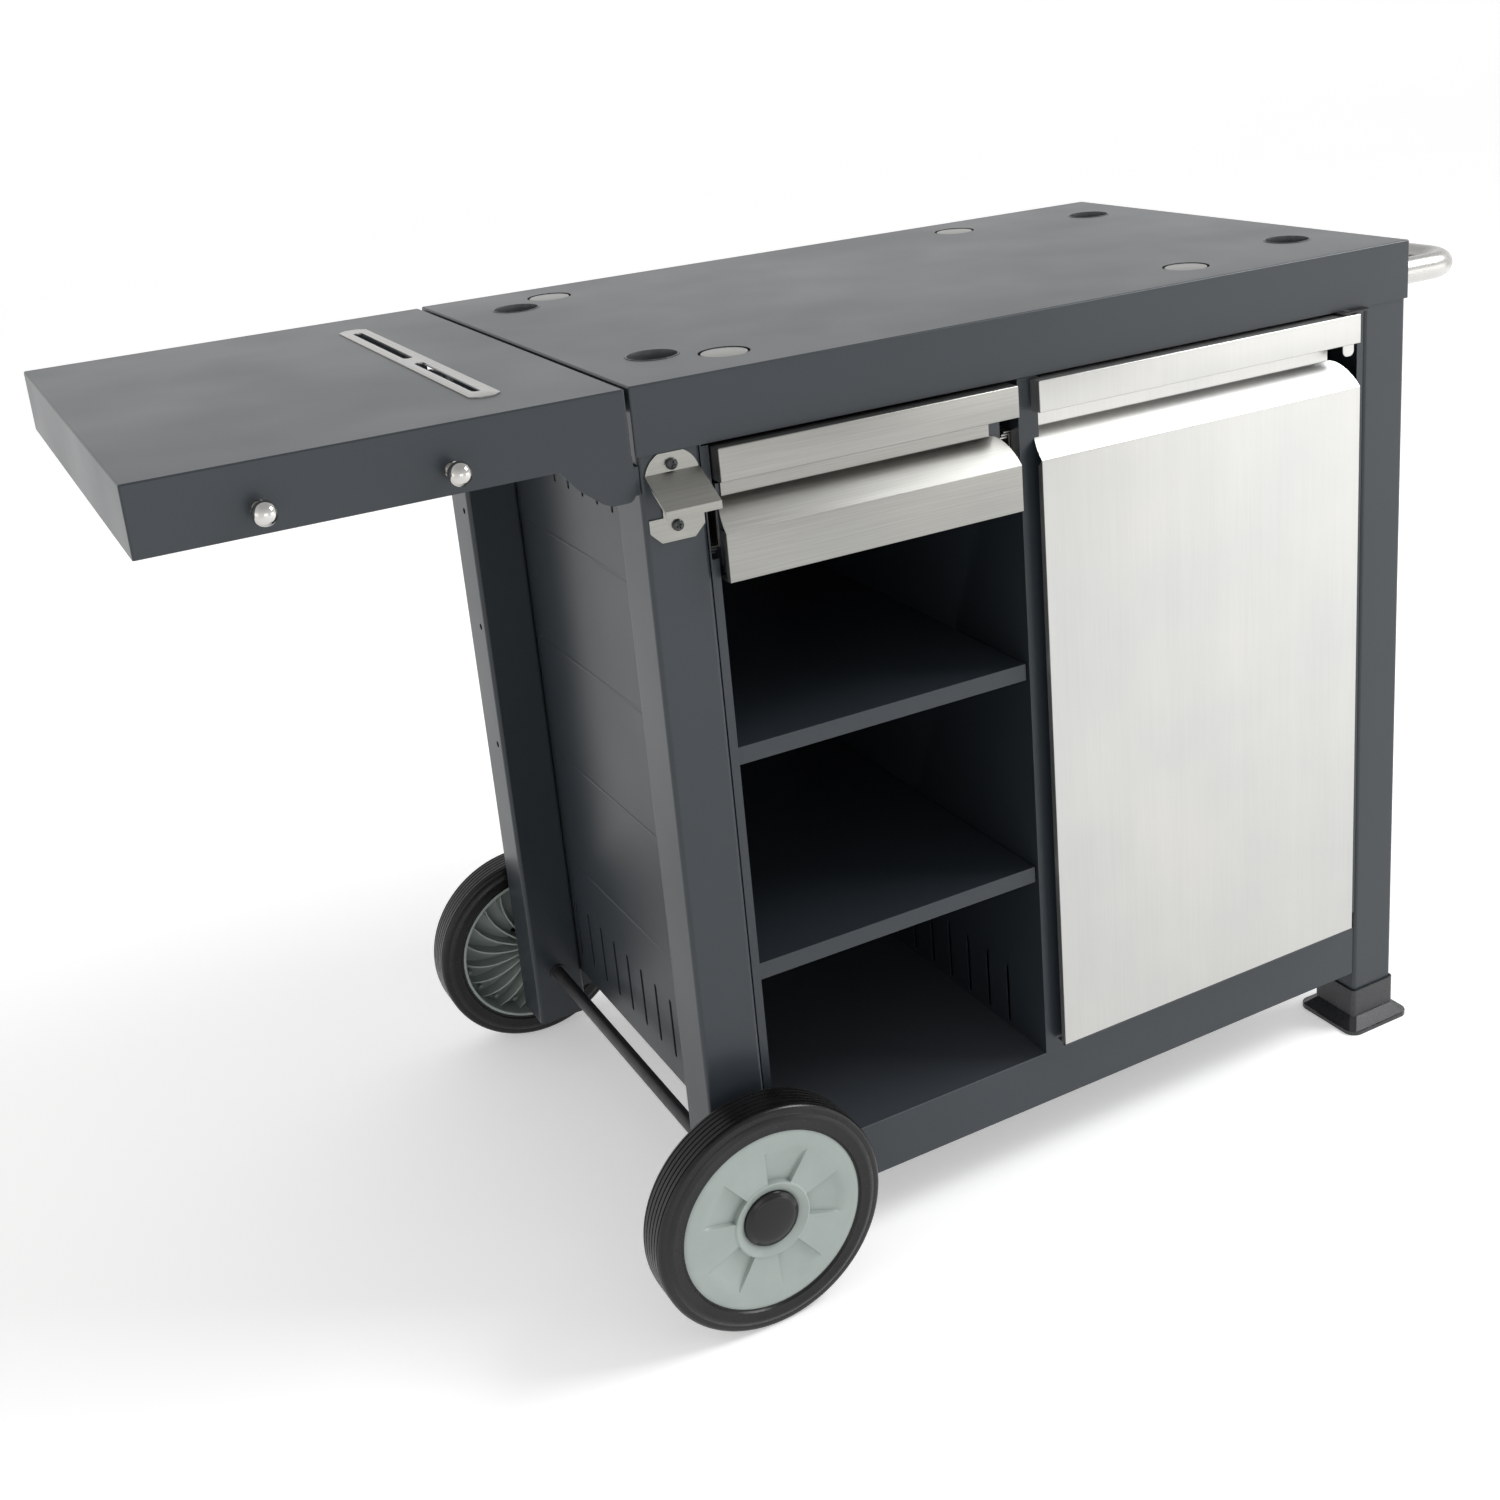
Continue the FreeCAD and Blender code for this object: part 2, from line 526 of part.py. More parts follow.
def make_door_hinges():
    ax, ay = DOOR_AXIS
    upper = box((ax - 12, PANEL_RIGHT - SHEET - 1), (-9, 30), (SKIRT_BOTTOM - 1.5, SKIRT_BOTTOM - 0.1))
    upper = upper.makeFillet(4.0, vertical_edges(upper))
    lower_z = DOOR_BOTTOM - 3.5
    plate = box((ax - 12, ax + 12), (-9, 34), (lower_z, lower_z + 1.5))
    post = box((ax - 12, ax + 12), (32.5, 34), (FLOOR_TOP, lower_z + 1.5))
    foot = box((ax - 12, ax + 12), (34, 52), (FLOOR_TOP, FLOOR_TOP + 1.5))
    upper_pin = rod(DOOR_PIN_R, (ax, ay, LIP_TOP - 8), (ax, ay, SKIRT_BOTTOM - 0.1))
    lower_pin = rod(DOOR_PIN_R, (ax, ay, lower_z - 1.0), (ax, ay, DOOR_BOTTOM + 9))
    bracket = fuse([plate, post, foot])
    keep("door_hinge_upper", upper.cut(upper_pin))
    keep("door_hinge_lower", bracket.cut(lower_pin))
    keep("door_hinge_pins", group([upper_pin, lower_pin]))
    magnet = box((DIVIDER_X1, DIVIDER_X1 + 22), (8.5, 28), (425, 455))
    keep("door_magnet", magnet)


# ---------------------------------------------------------------- folding side shelf
SIDE_TOP = DECK_H - SHELF_DROP
SIDE_X = (LEFT_END, -SHELF_GAP)
PLATE_X = (-100.5, -75.5)
PLATE_Y = (58.0, 432.0)
PLATE_T = 1.2
SLOT_W = 8.0
SLOTS_Y = ((80.0, 228.0), (253.0, 411.0))
KNOB_X = (-275.0, -139.0)
KNOB_Z = 783.0
KNOB_R = 9.0


def slot_cutters(z0, z1):
    cutters = []
    x = (PLATE_X[0] + PLATE_X[1]) / 2.0
    for y0, y1 in SLOTS_Y:
        middle = box((x - SLOT_W / 2, x + SLOT_W / 2), (y0 + SLOT_W / 2, y1 - SLOT_W / 2), (z0, z1))
        ends = [rod(SLOT_W / 2, (x, y, z0), (x, y, z1)) for y in (y0 + SLOT_W / 2, y1 - SLOT_W / 2)]
        cutters.append(middle.fuse(ends))
    return cutters


def make_side_shelf():
    tray = skirted_tray(SIDE_X, (0, DECK_D), SIDE_TOP, SHELF_SKIRT, SHEET, 1.8)
    skirt_foot = SIDE_TOP - SHELF_SKIRT
    inner_cut = box((SIDE_X[1] - SHEET - 0.1, SIDE_X[1] + 1), (6, DECK_D - 6), (skirt_foot - 1, SIDE_TOP - 20))
    tray = tray.cut(inner_cut)
    ear_foot = HINGE_Z - EAR_DROP
    ear = extrude_xz([(HINGE_X - 44, skirt_foot + 1), (HINGE_X - 30, HINGE_Z + 2), (HINGE_X - 12, ear_foot + 3.5),
                      (HINGE_X - 4, ear_foot), (SIDE_X[1], ear_foot), (SIDE_X[1], skirt_foot + 1)], 0, SHEET)
    outer_corner = [e for e in ear.Edges if e.BoundBox.YLength > 0.9 * SHEET
                    and abs(e.BoundBox.XMin - SIDE_X[1]) < 0.01 and abs(e.BoundBox.ZMin - ear_foot) < 0.01]
    ear = ear.makeFillet(EAR_ROUND, outer_corner)
    panel = fuse([tray, ear, mirror_y(ear)])
    panel = panel.cut(Part.makeCompound(slot_cutters(SIDE_TOP - 5, SIDE_TOP + 5)))
    keep("side_shelf_panel", panel)
    plate = box(PLATE_X, PLATE_Y, (SIDE_TOP, SIDE_TOP + PLATE_T - 0.2))
    plate = plate.makeChamfer(7.0, upright_edges(plate))
    plate = plate.cut(Part.makeCompound(slot_cutters(SIDE_TOP - 5, SIDE_TOP + 5)))
    keep("slotted_plate", plate)
    braces = []
    for x in (-300.0, -180.0):
        z = (SIDE_TOP - SHEET - 16, SIDE_TOP - SHEET)
        hat = box((x - 14, x + 14), (8, DECK_D - 8), z)
        hollow = box((x - 14 + SHEET, x + 14 - SHEET), (7, DECK_D - 7), (z[0] + SHEET, z[1] + 1))
        braces.append(hat.cut(hollow))
    keep("side_shelf_braces", group(braces))
    knobs = []
    for x in KNOB_X:
        ball = Part.makeSphere(KNOB_R, V(x, -15, KNOB_Z))
        neck = rod(4.5, (x, 0, KNOB_Z), (x, -10, KNOB_Z))
        flange = rod(6.5, (x, 0, KNOB_Z), (x, -1.6, KNOB_Z))
        knobs.append(fuse([ball, neck, flange]))
    keep("tool_knobs", group(knobs))


def make_side_shelf_hinges():
    gap = 0.6
    y0 = SHEET + gap
    cheek = rod(12.0, (HINGE_X, y0, HINGE_Z), (HINGE_X, y0 + 2, HINGE_Z))
    arm = box((HINGE_X, 0.0), (y0, y0 + 2), (HINGE_Z - 12, HINGE_Z + 10))
    flange = box((SHEET + 0.3 - 2.0, SHEET + 0.3), (y0, 40), (HINGE_Z - 12, HINGE_Z + 10))
    stud = rod(HINGE_PIN_R, (HINGE_X, SHEET, HINGE_Z), (HINGE_X, y0 + 7, HINGE_Z))
    nut = ring(7.0, HINGE_PIN_R - 0.5, (HINGE_X, y0 + 2.4, HINGE_Z), (HINGE_X, y0 + 6, HINGE_Z))
    hole = rod(HINGE_PIN_R + RUN_FIT, (HINGE_X, 0, HINGE_Z), (HINGE_X, 9, HINGE_Z))
    bracket = fuse([cheek, arm, flange]).cut(hole)
    stud = fuse([stud, nut])
    keep("side_shelf_brackets", group([bracket, mirror_y(bracket)]))
    keep("side_shelf_hinge_studs", group([stud, mirror_y(stud)]))


# ---------------------------------------------------------------- wheels and axle
def tyre(y0):
    r0, r1 = RIM_R - 3.0, WHEEL_R
    y1 = y0 + WHEEL_W
    steps = 6
    points = [(r0, y0 + 3), (RIM_R + 1, y0 + 3), (RIM_R + 2, y0)]
    shoulder = 9.0
    for i in range(steps + 1):
        a = math.pi / 2 * i / steps
        points.append((r1 - shoulder + shoulder * math.sin(a), y0 + shoulder - shoulder * math.cos(a)))
    for i in range(steps + 1):
        a = math.pi / 2 * i / steps
        points.append((r1 - shoulder + shoulder * math.cos(a), y1 - shoulder + shoulder * math.sin(a)))
    points += [(RIM_R + 2, y1), (RIM_R + 1, y1 - 2), (r0, y1 - 2)]
    return revolve_y(points, WHEEL_X, WHEEL_R)


def rim(y0):
    drum = [(RIM_R - 5, y0 + 2), (RIM_R - 3, y0 + 2), (RIM_R - 3, y0 + WHEEL_W - 2), (RIM_R - 5, y0 + WHEEL_W - 2)]
    dish = [(RIM_R, y0 + 2), (RIM_R - 2, y0), (RIM_R - 10, y0), (36, y0 + 7), (36, y0 + 3), (27, y0 + 3),
            (26, y0 + 10), (26, y0 + 14), (37, y0 + 13), (RIM_R - 10, y0 + 5)]
    hub = [(12, y0 + 10), (27, y0 + 10), (27, y0 + 14), (18, y0 + 15), (18, y0 + WHEEL_W + 4),
           (12, y0 + WHEEL_W + 4)]
    parts = [revolve_y(points, WHEEL_X, WHEEL_R) for points in (drum, dish, hub)]
    return fuse(parts)


def hub_cap(y0):
    points = [(0, y0), (14, y0 + 0.6), (22, y0 + 2.4), (25.6, y0 + 5), (25.6, y0 + 9.8), (23.5, y0 + 9.8),
              (23.5, y0 + 5.5), (20, y0 + 4), (0, y0 + 2)]
    return revolve_y(points, WHEEL_X, WHEEL_R)


def hub_bush(y0):
    return ring(12.0, AXLE_R + RUN_FIT, (WHEEL_X, y0 + 10, WHEEL_R), (WHEEL_X, y0 + WHEEL_W + 4, WHEEL_R))


def make_wheels():
    pieces = (("tyre", tyre), ("rim", rim), ("hub_cap", hub_cap), ("hub_bush", hub_bush))
    for name, maker in pieces:
        piece = maker(WHEEL_FACE)
        keep("front_" + name, piece)
        keep("rear_" + name, mirror_y(piece))


def make_axle():
    y0 = WHEEL_FACE + 4
    keep("axle_rod", rod(AXLE_R, (WHEEL_X, y0, WHEEL_R), (WHEEL_X, DECK_D - y0, WHEEL_R)))
    nut = ring(11.0, AXLE_R, (WHEEL_X, y0 + 0.6, WHEEL_R), (WHEEL_X, y0 + 5.6, WHEEL_R))
    keep("axle_nuts", group([nut, mirror_y(nut)]))
    bush_y = LEG_Y_FRONT
    sleeve = ring(AXLE_R + 2.4, AXLE_R, (WHEEL_X, bush_y[0] - 2.5, WHEEL_R), (WHEEL_X, bush_y[1] + 2, WHEEL_R))
    collar = ring(12.0, AXLE_R, (WHEEL_X, bush_y[0] - 2.5, WHEEL_R), (WHEEL_X, bush_y[0], WHEEL_R))
    bush = fuse([sleeve, collar])
    keep("axle_leg_bushes", group([bush, mirror_y(bush)]))


# ---------------------------------------------------------------- handle, opener and fasteners
def make_handle():
    y0, y1 = HANDLE_Y, DECK_D - HANDLE_Y
    x0, x1, b = DECK_W, HANDLE_X, HANDLE_BEND
    s = b * (1 - math.sqrt(0.5))
    path = Part.Wire([
        Part.LineSegment(V(x0, y0, HANDLE_Z), V(x1 - b, y0, HANDLE_Z)).toShape(),
        Part.Arc(V(x1 - b, y0, HANDLE_Z), V(x1 - s, y0 + s, HANDLE_Z), V(x1, y0 + b, HANDLE_Z)).toShape(),
        Part.LineSegment(V(x1, y0 + b, HANDLE_Z), V(x1, y1 - b, HANDLE_Z)).toShape(),
        Part.Arc(V(x1, y1 - b, HANDLE_Z), V(x1 - s, y1 - s, HANDLE_Z), V(x1 - b, y1, HANDLE_Z)).toShape(),
        Part.LineSegment(V(x1 - b, y1, HANDLE_Z), V(x0, y1, HANDLE_Z)).toShape()])
    section = Part.Wire([Part.makeCircle(HANDLE_R, V(x0, y0, HANDLE_Z), X_AXIS)])
    tube = path.makePipeShell([section], True, False)
    core = Part.Wire([Part.makeCircle(HANDLE_R - 1.5, V(x0, y0, HANDLE_Z), X_AXIS)])
    tube = tube.cut(path.makePipeShell([core], True, False))
    plugs = [ring(HANDLE_R - 1.5, 4.0, (x0, y, HANDLE_Z), (x0 + 10, y, HANDLE_Z)) for y in (y0, y1)]
    keep("push_handle", fuse([tube] + plugs))
    bolts = []
    seat = LEG_X_RIGHT[1] - LEG_WALL
    for y in (y0, y1):
        shank = rod(4.0, (seat - 3, y, HANDLE_Z), (DECK_W + 10, y, HANDLE_Z))
        head = rod(7.0, (seat - 3, y, HANDLE_Z), (seat, y, HANDLE_Z))
        bolts.append(shank.fuse(head).removeSplitter())
    keep("handle_bolts", group(bolts))


OPENER_X = (5.0, 51.0)
OPENER_T = 1.6
OPENER_SCREW_Z = (754.0, 706.5)


def make_opener():
    y1 = LEG_SETBACK
    y0 = y1 - OPENER_T
    mid = (OPENER_X[0] + OPENER_X[1]) / 2.0
    half = (OPENER_X[1] - OPENER_X[0]) / 2.0
    upper = rod(half, (mid, y0, 743.0), (mid, y1, 743.0))
    upper = upper.common(box(OPENER_X, (y0, y1), (746.0, 763.5)))
    web = box((mid - 11, mid + 11), (y0, y1), (712.0, 748.0))
    clip = 9.0
    x0, x1 = OPENER_X
    lower = extrude_xz([(x0, 713.5), (x1, 713.5), (x1, 694.0 + clip), (x1 - clip, 694.0), (x0 + clip, 694.0),
                        (x0, 694.0 + clip)], y0, y1)
    reach, fall = 34.0, 20.0
    tip_y, tip_z = y0 - reach, 747.0 - fall
    tongue = extrude_yz([(y1, 749.0), (y0, 748.6), (tip_y, tip_z + 1.2), (tip_y - 0.4, tip_z - 5.0),
                         (tip_y + 1.4, tip_z - 5.0), (tip_y + 1.6, tip_z - 0.8), (y0, 746.4), (y1, 746.0)],
                        OPENER_X[0], OPENER_X[1])
    plate = fuse([upper, web, lower, tongue])
    screws = []
    for z in OPENER_SCREW_Z:
        plate = plate.cut(rod(2.6, (mid, -10, z), (mid, 10, z)))
        screws.append(pan_head((mid, y0, z), (0, 1, 0), 5.0, OPENER_T + 1.2))
    keep("bottle_opener", plate)
    keep("bottle_opener_screws", group(screws))


def make_frame_screws():
    """Pan-head screws that hold the panels, rails and back to the legs."""
    screws = []
    inner_left = PANEL_LEFT + SHEET
    inner_right = PANEL_RIGHT - SHEET
    back_y = LEG_Y_REAR[1] - 1 - SHEET
    for z in (200.0, 400.0, 600.0):
        for y in (40.0, DECK_D - 40.0):
            screws.append(pan_head((inner_left, y, z), (-1, 0, 0), 4.5, SHEET - 0.1))
            screws.append(pan_head((inner_right, y, z), (1, 0, 0), 4.5, SHEET - 0.1))
        for x in (200.0, 550.0):
            screws.append(pan_head((x, back_y, z), (0, 1, 0), 4.5, SHEET - 0.1))
    keep("frame_screws", group(screws))


def seat_fasteners():
    """Open each screw's hole in the sheets that it passes through."""
    seats = {"frame_screws": ("side_panel_left", "side_panel_right", "back_panel"),
             "drawer_screws": ("drawer_box", "drawer_front_backer"),
             "bottle_opener_screws": ("leg_front_left",)}
    for screws, hosts in seats.items():
        for host in hosts:
            NODES[host] = NODES[host].cut(NODES[screws])


make_deck()
make_deck_inserts()
make_legs()
make_foot_caps()
make_rails()
make_side_panels()
make_divider()
make_back_and_floor()
make_bay_shelves()
make_runners()
make_drawer()
make_door()
make_door_hinges()
make_side_shelf()
make_side_shelf_hinges()
make_wheels()
make_axle()
make_handle()
make_opener()
make_frame_screws()
seat_fasteners()

os.makedirs("parts", exist_ok=True)
for node, shape in sorted(NODES.items()):
    if not shape.isValid():
        print("INVALID", node)
    shape.exportStep("parts/" + node + ".step")
print(len(NODES), "nodes")
low = [min(getattr(s.BoundBox, a) for s in NODES.values()) for a in ("XMin", "YMin", "ZMin")]
high = [max(getattr(s.BoundBox, a) for s in NODES.values()) for a in ("XMax", "YMax", "ZMax")]
print("box", [round(v, 2) for v in low], [round(v, 2) for v in high])
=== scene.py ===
import json
import math

import bmesh
import bpy
from mathutils import Matrix, Vector


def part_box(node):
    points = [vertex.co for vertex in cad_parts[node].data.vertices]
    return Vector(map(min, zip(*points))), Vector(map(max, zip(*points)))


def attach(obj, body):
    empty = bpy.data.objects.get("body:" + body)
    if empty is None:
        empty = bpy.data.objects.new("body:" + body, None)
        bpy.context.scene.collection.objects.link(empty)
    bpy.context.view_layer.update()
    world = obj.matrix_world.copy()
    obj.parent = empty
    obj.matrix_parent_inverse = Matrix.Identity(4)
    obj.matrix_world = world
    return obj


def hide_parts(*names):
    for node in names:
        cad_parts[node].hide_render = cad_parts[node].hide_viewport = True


# Looks of a rolling griddle cart: powder-coated steel cabinet, brushed stainless fronts,
# moulded wheels and a folding side shelf. Everything is in metres, in the frame's own axes:
# X to the right along the front, Y to the back, Z up from the floor.

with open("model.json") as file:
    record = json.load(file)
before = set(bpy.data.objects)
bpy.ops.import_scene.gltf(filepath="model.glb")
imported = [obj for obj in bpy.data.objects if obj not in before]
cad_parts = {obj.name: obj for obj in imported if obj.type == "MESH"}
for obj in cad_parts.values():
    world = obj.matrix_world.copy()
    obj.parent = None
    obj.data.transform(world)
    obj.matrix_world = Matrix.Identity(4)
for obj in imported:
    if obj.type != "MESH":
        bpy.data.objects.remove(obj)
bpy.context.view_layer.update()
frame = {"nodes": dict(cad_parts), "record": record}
MM = 0.001
WHITE = (1.0, 1.0, 1.0)
NOISE_LOW = 0.3              # most values of a noise texture lie between these two
NOISE_HIGH = 0.7


# ---------------------------------------------------------------- material helpers
def shader_of(name, roughness, metallic=0.0, specular=0.5):
    """A new material, its node tree and its principled shader."""
    material = bpy.data.materials.new(name)
    material.use_nodes = True
    tree = material.node_tree
    shader = tree.nodes["Principled BSDF"]
    shader.inputs["Roughness"].default_value = roughness
    shader.inputs["Metallic"].default_value = metallic
    shader.inputs["Specular IOR Level"].default_value = specular
    return material, tree, shader


def noise(tree, scale, stretch=(1.0, 1.0, 1.0), detail=2.0):
    """Noise laid over the piece's own coordinates; `scale` is in features per metre."""
    place = tree.nodes.new("ShaderNodeTexCoord")
    mapping = tree.nodes.new("ShaderNodeMapping")
    mapping.inputs["Scale"].default_value = stretch
    texture = tree.nodes.new("ShaderNodeTexNoise")
    texture.inputs["Scale"].default_value = scale
    texture.inputs["Detail"].default_value = detail
    tree.links.new(place.outputs["Object"], mapping.inputs["Vector"])
    tree.links.new(mapping.outputs["Vector"], texture.inputs["Vector"])
    return texture.outputs["Fac"]


def spread(tree, value, low, high, start=NOISE_LOW, end=NOISE_HIGH):
    """Turn a noise value between `start` and `end` into a number between `low` and `high`."""
    node = tree.nodes.new("ShaderNodeMapRange")
    node.inputs["From Min"].default_value = start
    node.inputs["From Max"].default_value = end
    node.inputs["To Min"].default_value = low
    node.inputs["To Max"].default_value = high
    tree.links.new(value, node.inputs["Value"])
    return node.outputs["Result"]


def two_colours(tree, value, dark, light):
    """A colour that goes from `dark` to `light` as a noise value rises."""
    ramp = tree.nodes.new("ShaderNodeValToRGB")
    ramp.color_ramp.elements[0].position = NOISE_LOW
    ramp.color_ramp.elements[0].color = (*dark, 1.0)
    ramp.color_ramp.elements[1].position = NOISE_HIGH
    ramp.color_ramp.elements[1].color = (*light, 1.0)
    tree.links.new(value, ramp.inputs["Fac"])
    return ramp.outputs["Color"]


def multiply(tree, first, second):
    """One colour darkened by another."""
    node = tree.nodes.new("ShaderNodeMix")
    node.data_type = "RGBA"
    node.blend_type = "MULTIPLY"
    node.inputs["Factor"].default_value = 1.0
    tree.links.new(first, node.inputs["A"])
    tree.links.new(second, node.inputs["B"])
    return node.outputs["Result"]


def bump(tree, shader, value, depth):
    """Relief of `depth` metres."""
    node = tree.nodes.new("ShaderNodeBump")
    node.inputs["Distance"].default_value = depth
    node.inputs["Strength"].default_value = 1.0
    tree.links.new(value, node.inputs["Height"])
    tree.links.new(node.outputs["Normal"], shader.inputs["Normal"])


# ---------------------------------------------------------------- materials
def make_powder_coat(name, dark, light, rough=(0.30, 0.35)):
    """Fine-textured satin powder coat with faint clouding."""
    cloud_scale, grain_scale, sheen_scale = 3.0, 900.0, 8.0
    grain_relief = 0.008 * MM
    material, tree, shader = shader_of(name, rough[0], specular=0.42)
    cloud = noise(tree, cloud_scale, detail=3.0)
    grain = noise(tree, grain_scale, detail=1.0)
    shade = two_colours(tree, cloud, dark, light)
    speck = two_colours(tree, grain, (0.88, 0.88, 0.88), WHITE)
    tree.links.new(multiply(tree, shade, speck), shader.inputs["Base Color"])
    tree.links.new(spread(tree, noise(tree, sheen_scale), *rough), shader.inputs["Roughness"])
    bump(tree, shader, grain, grain_relief)
    return material


def make_stainless(name, stretch, dark, light, rough):
    """Brushed stainless sheet; `stretch` is large across the grain and small along it."""
    line_scale, band_scale, smear_scale = 900.0, 60.0, 7.0
    line_relief = 0.0025 * MM
    material, tree, shader = shader_of(name, 0.3, metallic=1.0)
    fine = noise(tree, 1.0, tuple(line_scale * s for s in stretch), detail=3.0)
    wide = noise(tree, 1.0, tuple(band_scale * s for s in stretch), detail=2.0)
    smear = noise(tree, smear_scale, detail=3.0)
    colour = two_colours(tree, fine, dark, light)
    band = two_colours(tree, wide, (0.975, 0.975, 0.975), WHITE)
    cloud = two_colours(tree, smear, (0.93, 0.94, 0.96), WHITE)
    colour = multiply(tree, multiply(tree, colour, band), cloud)
    tree.links.new(colour, shader.inputs["Base Color"])
    tree.links.new(spread(tree, fine, *rough), shader.inputs["Roughness"])
    bump(tree, shader, fine, line_relief)
    return material


def make_plain_metal(name, dark, light, rough, scale=80.0):
    """Plated or polished metal with faint mottling."""
    pit_scale, pit_relief = 500.0, 0.006 * MM
    material, tree, shader = shader_of(name, rough[0], metallic=1.0)
    mottle = noise(tree, scale, detail=3.0)
    tree.links.new(two_colours(tree, mottle, dark, light), shader.inputs["Base Color"])
    tree.links.new(spread(tree, mottle, *rough), shader.inputs["Roughness"])
    bump(tree, shader, noise(tree, pit_scale), pit_relief)
    return material


def make_moulded(name, dark, light, rough, grain=420.0, relief=0.03, specular=0.5):
    """Moulded plastic or rubber: slight clouding, fine mould texture `relief` millimetres deep."""
    cloud_scale, sheen_scale = 25.0, 90.0
    material, tree, shader = shader_of(name, rough[0], specular=specular)
    cloud = noise(tree, cloud_scale, detail=3.0)
    tree.links.new(two_colours(tree, cloud, dark, light), shader.inputs["Base Color"])
    tree.links.new(spread(tree, noise(tree, sheen_scale), *rough), shader.inputs["Roughness"])
    bump(tree, shader, noise(tree, grain, detail=2.0), relief * MM)
    return material


ALONG = 0.012                # how much the brushing noise is drawn out along the grain
ALONG_X = (ALONG, 1.0, 1.0)
ALONG_Y = (1.0, ALONG, 1.0)
ALONG_Z = (1.0, ALONG, ALONG)    # drawn out in depth too, so that a sloping fold shows no specks

PAINT = make_powder_coat("charcoal_powder_coat", (0.023, 0.029, 0.035), (0.028, 0.034, 0.041))
# A lighter copy of the charcoal paint for the parts inside the cabinet: painted fill light that brightens
# them where they sit in shade.
PAINT_FILL_LIT_INSIDE = make_powder_coat("charcoal_powder_coat_painted_fill_light",
                                (0.050, 0.057, 0.066), (0.057, 0.064, 0.074), (0.34, 0.40))
STEEL_X = make_stainless("brushed_stainless_lengthwise", ALONG_X,
                         (0.60, 0.59, 0.57), (0.68, 0.67, 0.65), (0.27, 0.33))
STEEL_Y = make_stainless("brushed_stainless_front_to_back", ALONG_Y,
                         (0.50, 0.49, 0.47), (0.56, 0.55, 0.53), (0.26, 0.32))
STEEL_Z = make_stainless("brushed_stainless_upright", ALONG_Z,
                         (0.54, 0.535, 0.515), (0.57, 0.565, 0.545), (0.35, 0.39))
# A darker copy of the brushed stainless: painted shade that keeps the drawer front and the landing discs
# darker than the other stainless.
STEEL_PAINTED_SHADE = make_stainless("brushed_stainless_painted_shade", ALONG_X,
                            (0.30, 0.295, 0.275), (0.345, 0.34, 0.32), (0.29, 0.35))
# Satin stainless for the bottle opener: the higher roughness is its satin finish, and the darker colour is
# painted shade that dims its front plates.
STEEL_SATIN_PAINTED_SHADE = make_stainless("satin_stainless_painted_shade", ALONG_X,
                             (0.31, 0.305, 0.28), (0.35, 0.345, 0.32), (0.34, 0.40))
ZINC = make_plain_metal("zinc_plate", (0.46, 0.45, 0.42), (0.52, 0.51, 0.48), (0.30, 0.36))
CHROME = make_plain_metal("chrome_knob", (0.54, 0.53, 0.51), (0.60, 0.59, 0.57), (0.05, 0.10), 30.0)
BLACK_SCREW = make_moulded("black_oxide", (0.012, 0.013, 0.014), (0.020, 0.022, 0.023), (0.18, 0.28))
BLACK_PLASTIC = make_moulded("black_plastic", (0.020, 0.021, 0.023), (0.028, 0.029, 0.032), (0.24, 0.32),
                             relief=0.012)
CUP_PLASTIC = make_moulded("cup_plastic", (0.046, 0.050, 0.054), (0.056, 0.060, 0.065), (0.26, 0.34),
                           relief=0.012)
GLOSS_BLACK = make_moulded("gloss_black_cap", (0.004, 0.004, 0.005), (0.006, 0.006, 0.007), (0.10, 0.15),
                           relief=0.004, specular=0.38)
GREY_PLASTIC = make_moulded("grey_plastic", (0.275, 0.315, 0.295), (0.31, 0.35, 0.33), (0.32, 0.42),
                            grain=300.0)
NYLON = make_moulded("natural_nylon", (0.58, 0.57, 0.52), (0.68, 0.67, 0.62), (0.34, 0.46))
RUBBER = make_moulded("tyre_rubber", (0.005, 0.005, 0.005), (0.009, 0.009, 0.009), (0.24, 0.36),
                      grain=260.0, relief=0.02, specular=0.34)
AXLE_BLACK = make_moulded("black_axle_paint", (0.014, 0.014, 0.015), (0.024, 0.024, 0.026), (0.34, 0.46))

BY_SLOT = {
    "powder_coat": PAINT,
    "brushed_stainless": STEEL_X,
    "zinc_steel": ZINC,
    "chrome_knob": CHROME,
    "black_screw": BLACK_SCREW,
    "black_plastic": BLACK_PLASTIC,
    "grey_plastic": GREY_PLASTIC,
    "nylon": NYLON,
    "tyre_rubber": RUBBER,
    "axle_black": AXLE_BLACK,
}
SLOT_OF = {part["node"]: part["material_slot"] for part in frame["record"]["subparts"]}
BODY_OF = {node: body for body, nodes in frame["record"]["behaviour"]["bodies"].items() for node in nodes}
OWN_MATERIAL = {
    # Parts inside the cabinet: the lighter copy of the charcoal paint, painted fill light.
    "back_panel": PAINT_FILL_LIT_INSIDE,
    "floor_panel": PAINT_FILL_LIT_INSIDE,
    "drawer_box": PAINT_FILL_LIT_INSIDE,
    "drawer_front_backer": PAINT_FILL_LIT_INSIDE,
    "door_inner_pan": PAINT_FILL_LIT_INSIDE,
    "deck_braces": PAINT_FILL_LIT_INSIDE,
    "door_hinge_upper": AXLE_BLACK,
    "door_hinge_lower": AXLE_BLACK,
    "front_hub_cap": GLOSS_BLACK,
    "rear_hub_cap": GLOSS_BLACK,
    "slotted_plate": STEEL_Y,
    # Landing discs: the darker copy of the brushed stainless, painted shade.
    "landing_discs": STEEL_PAINTED_SHADE,
    "foot_cups": CUP_PLASTIC,
    "push_handle": STEEL_Y,
    # Bottle opener: satin stainless with a darker colour, painted shade.
    "bottle_opener": STEEL_SATIN_PAINTED_SHADE,
}


def material_for(node):
    return OWN_MATERIAL.get(node, BY_SLOT[SLOT_OF[node]])


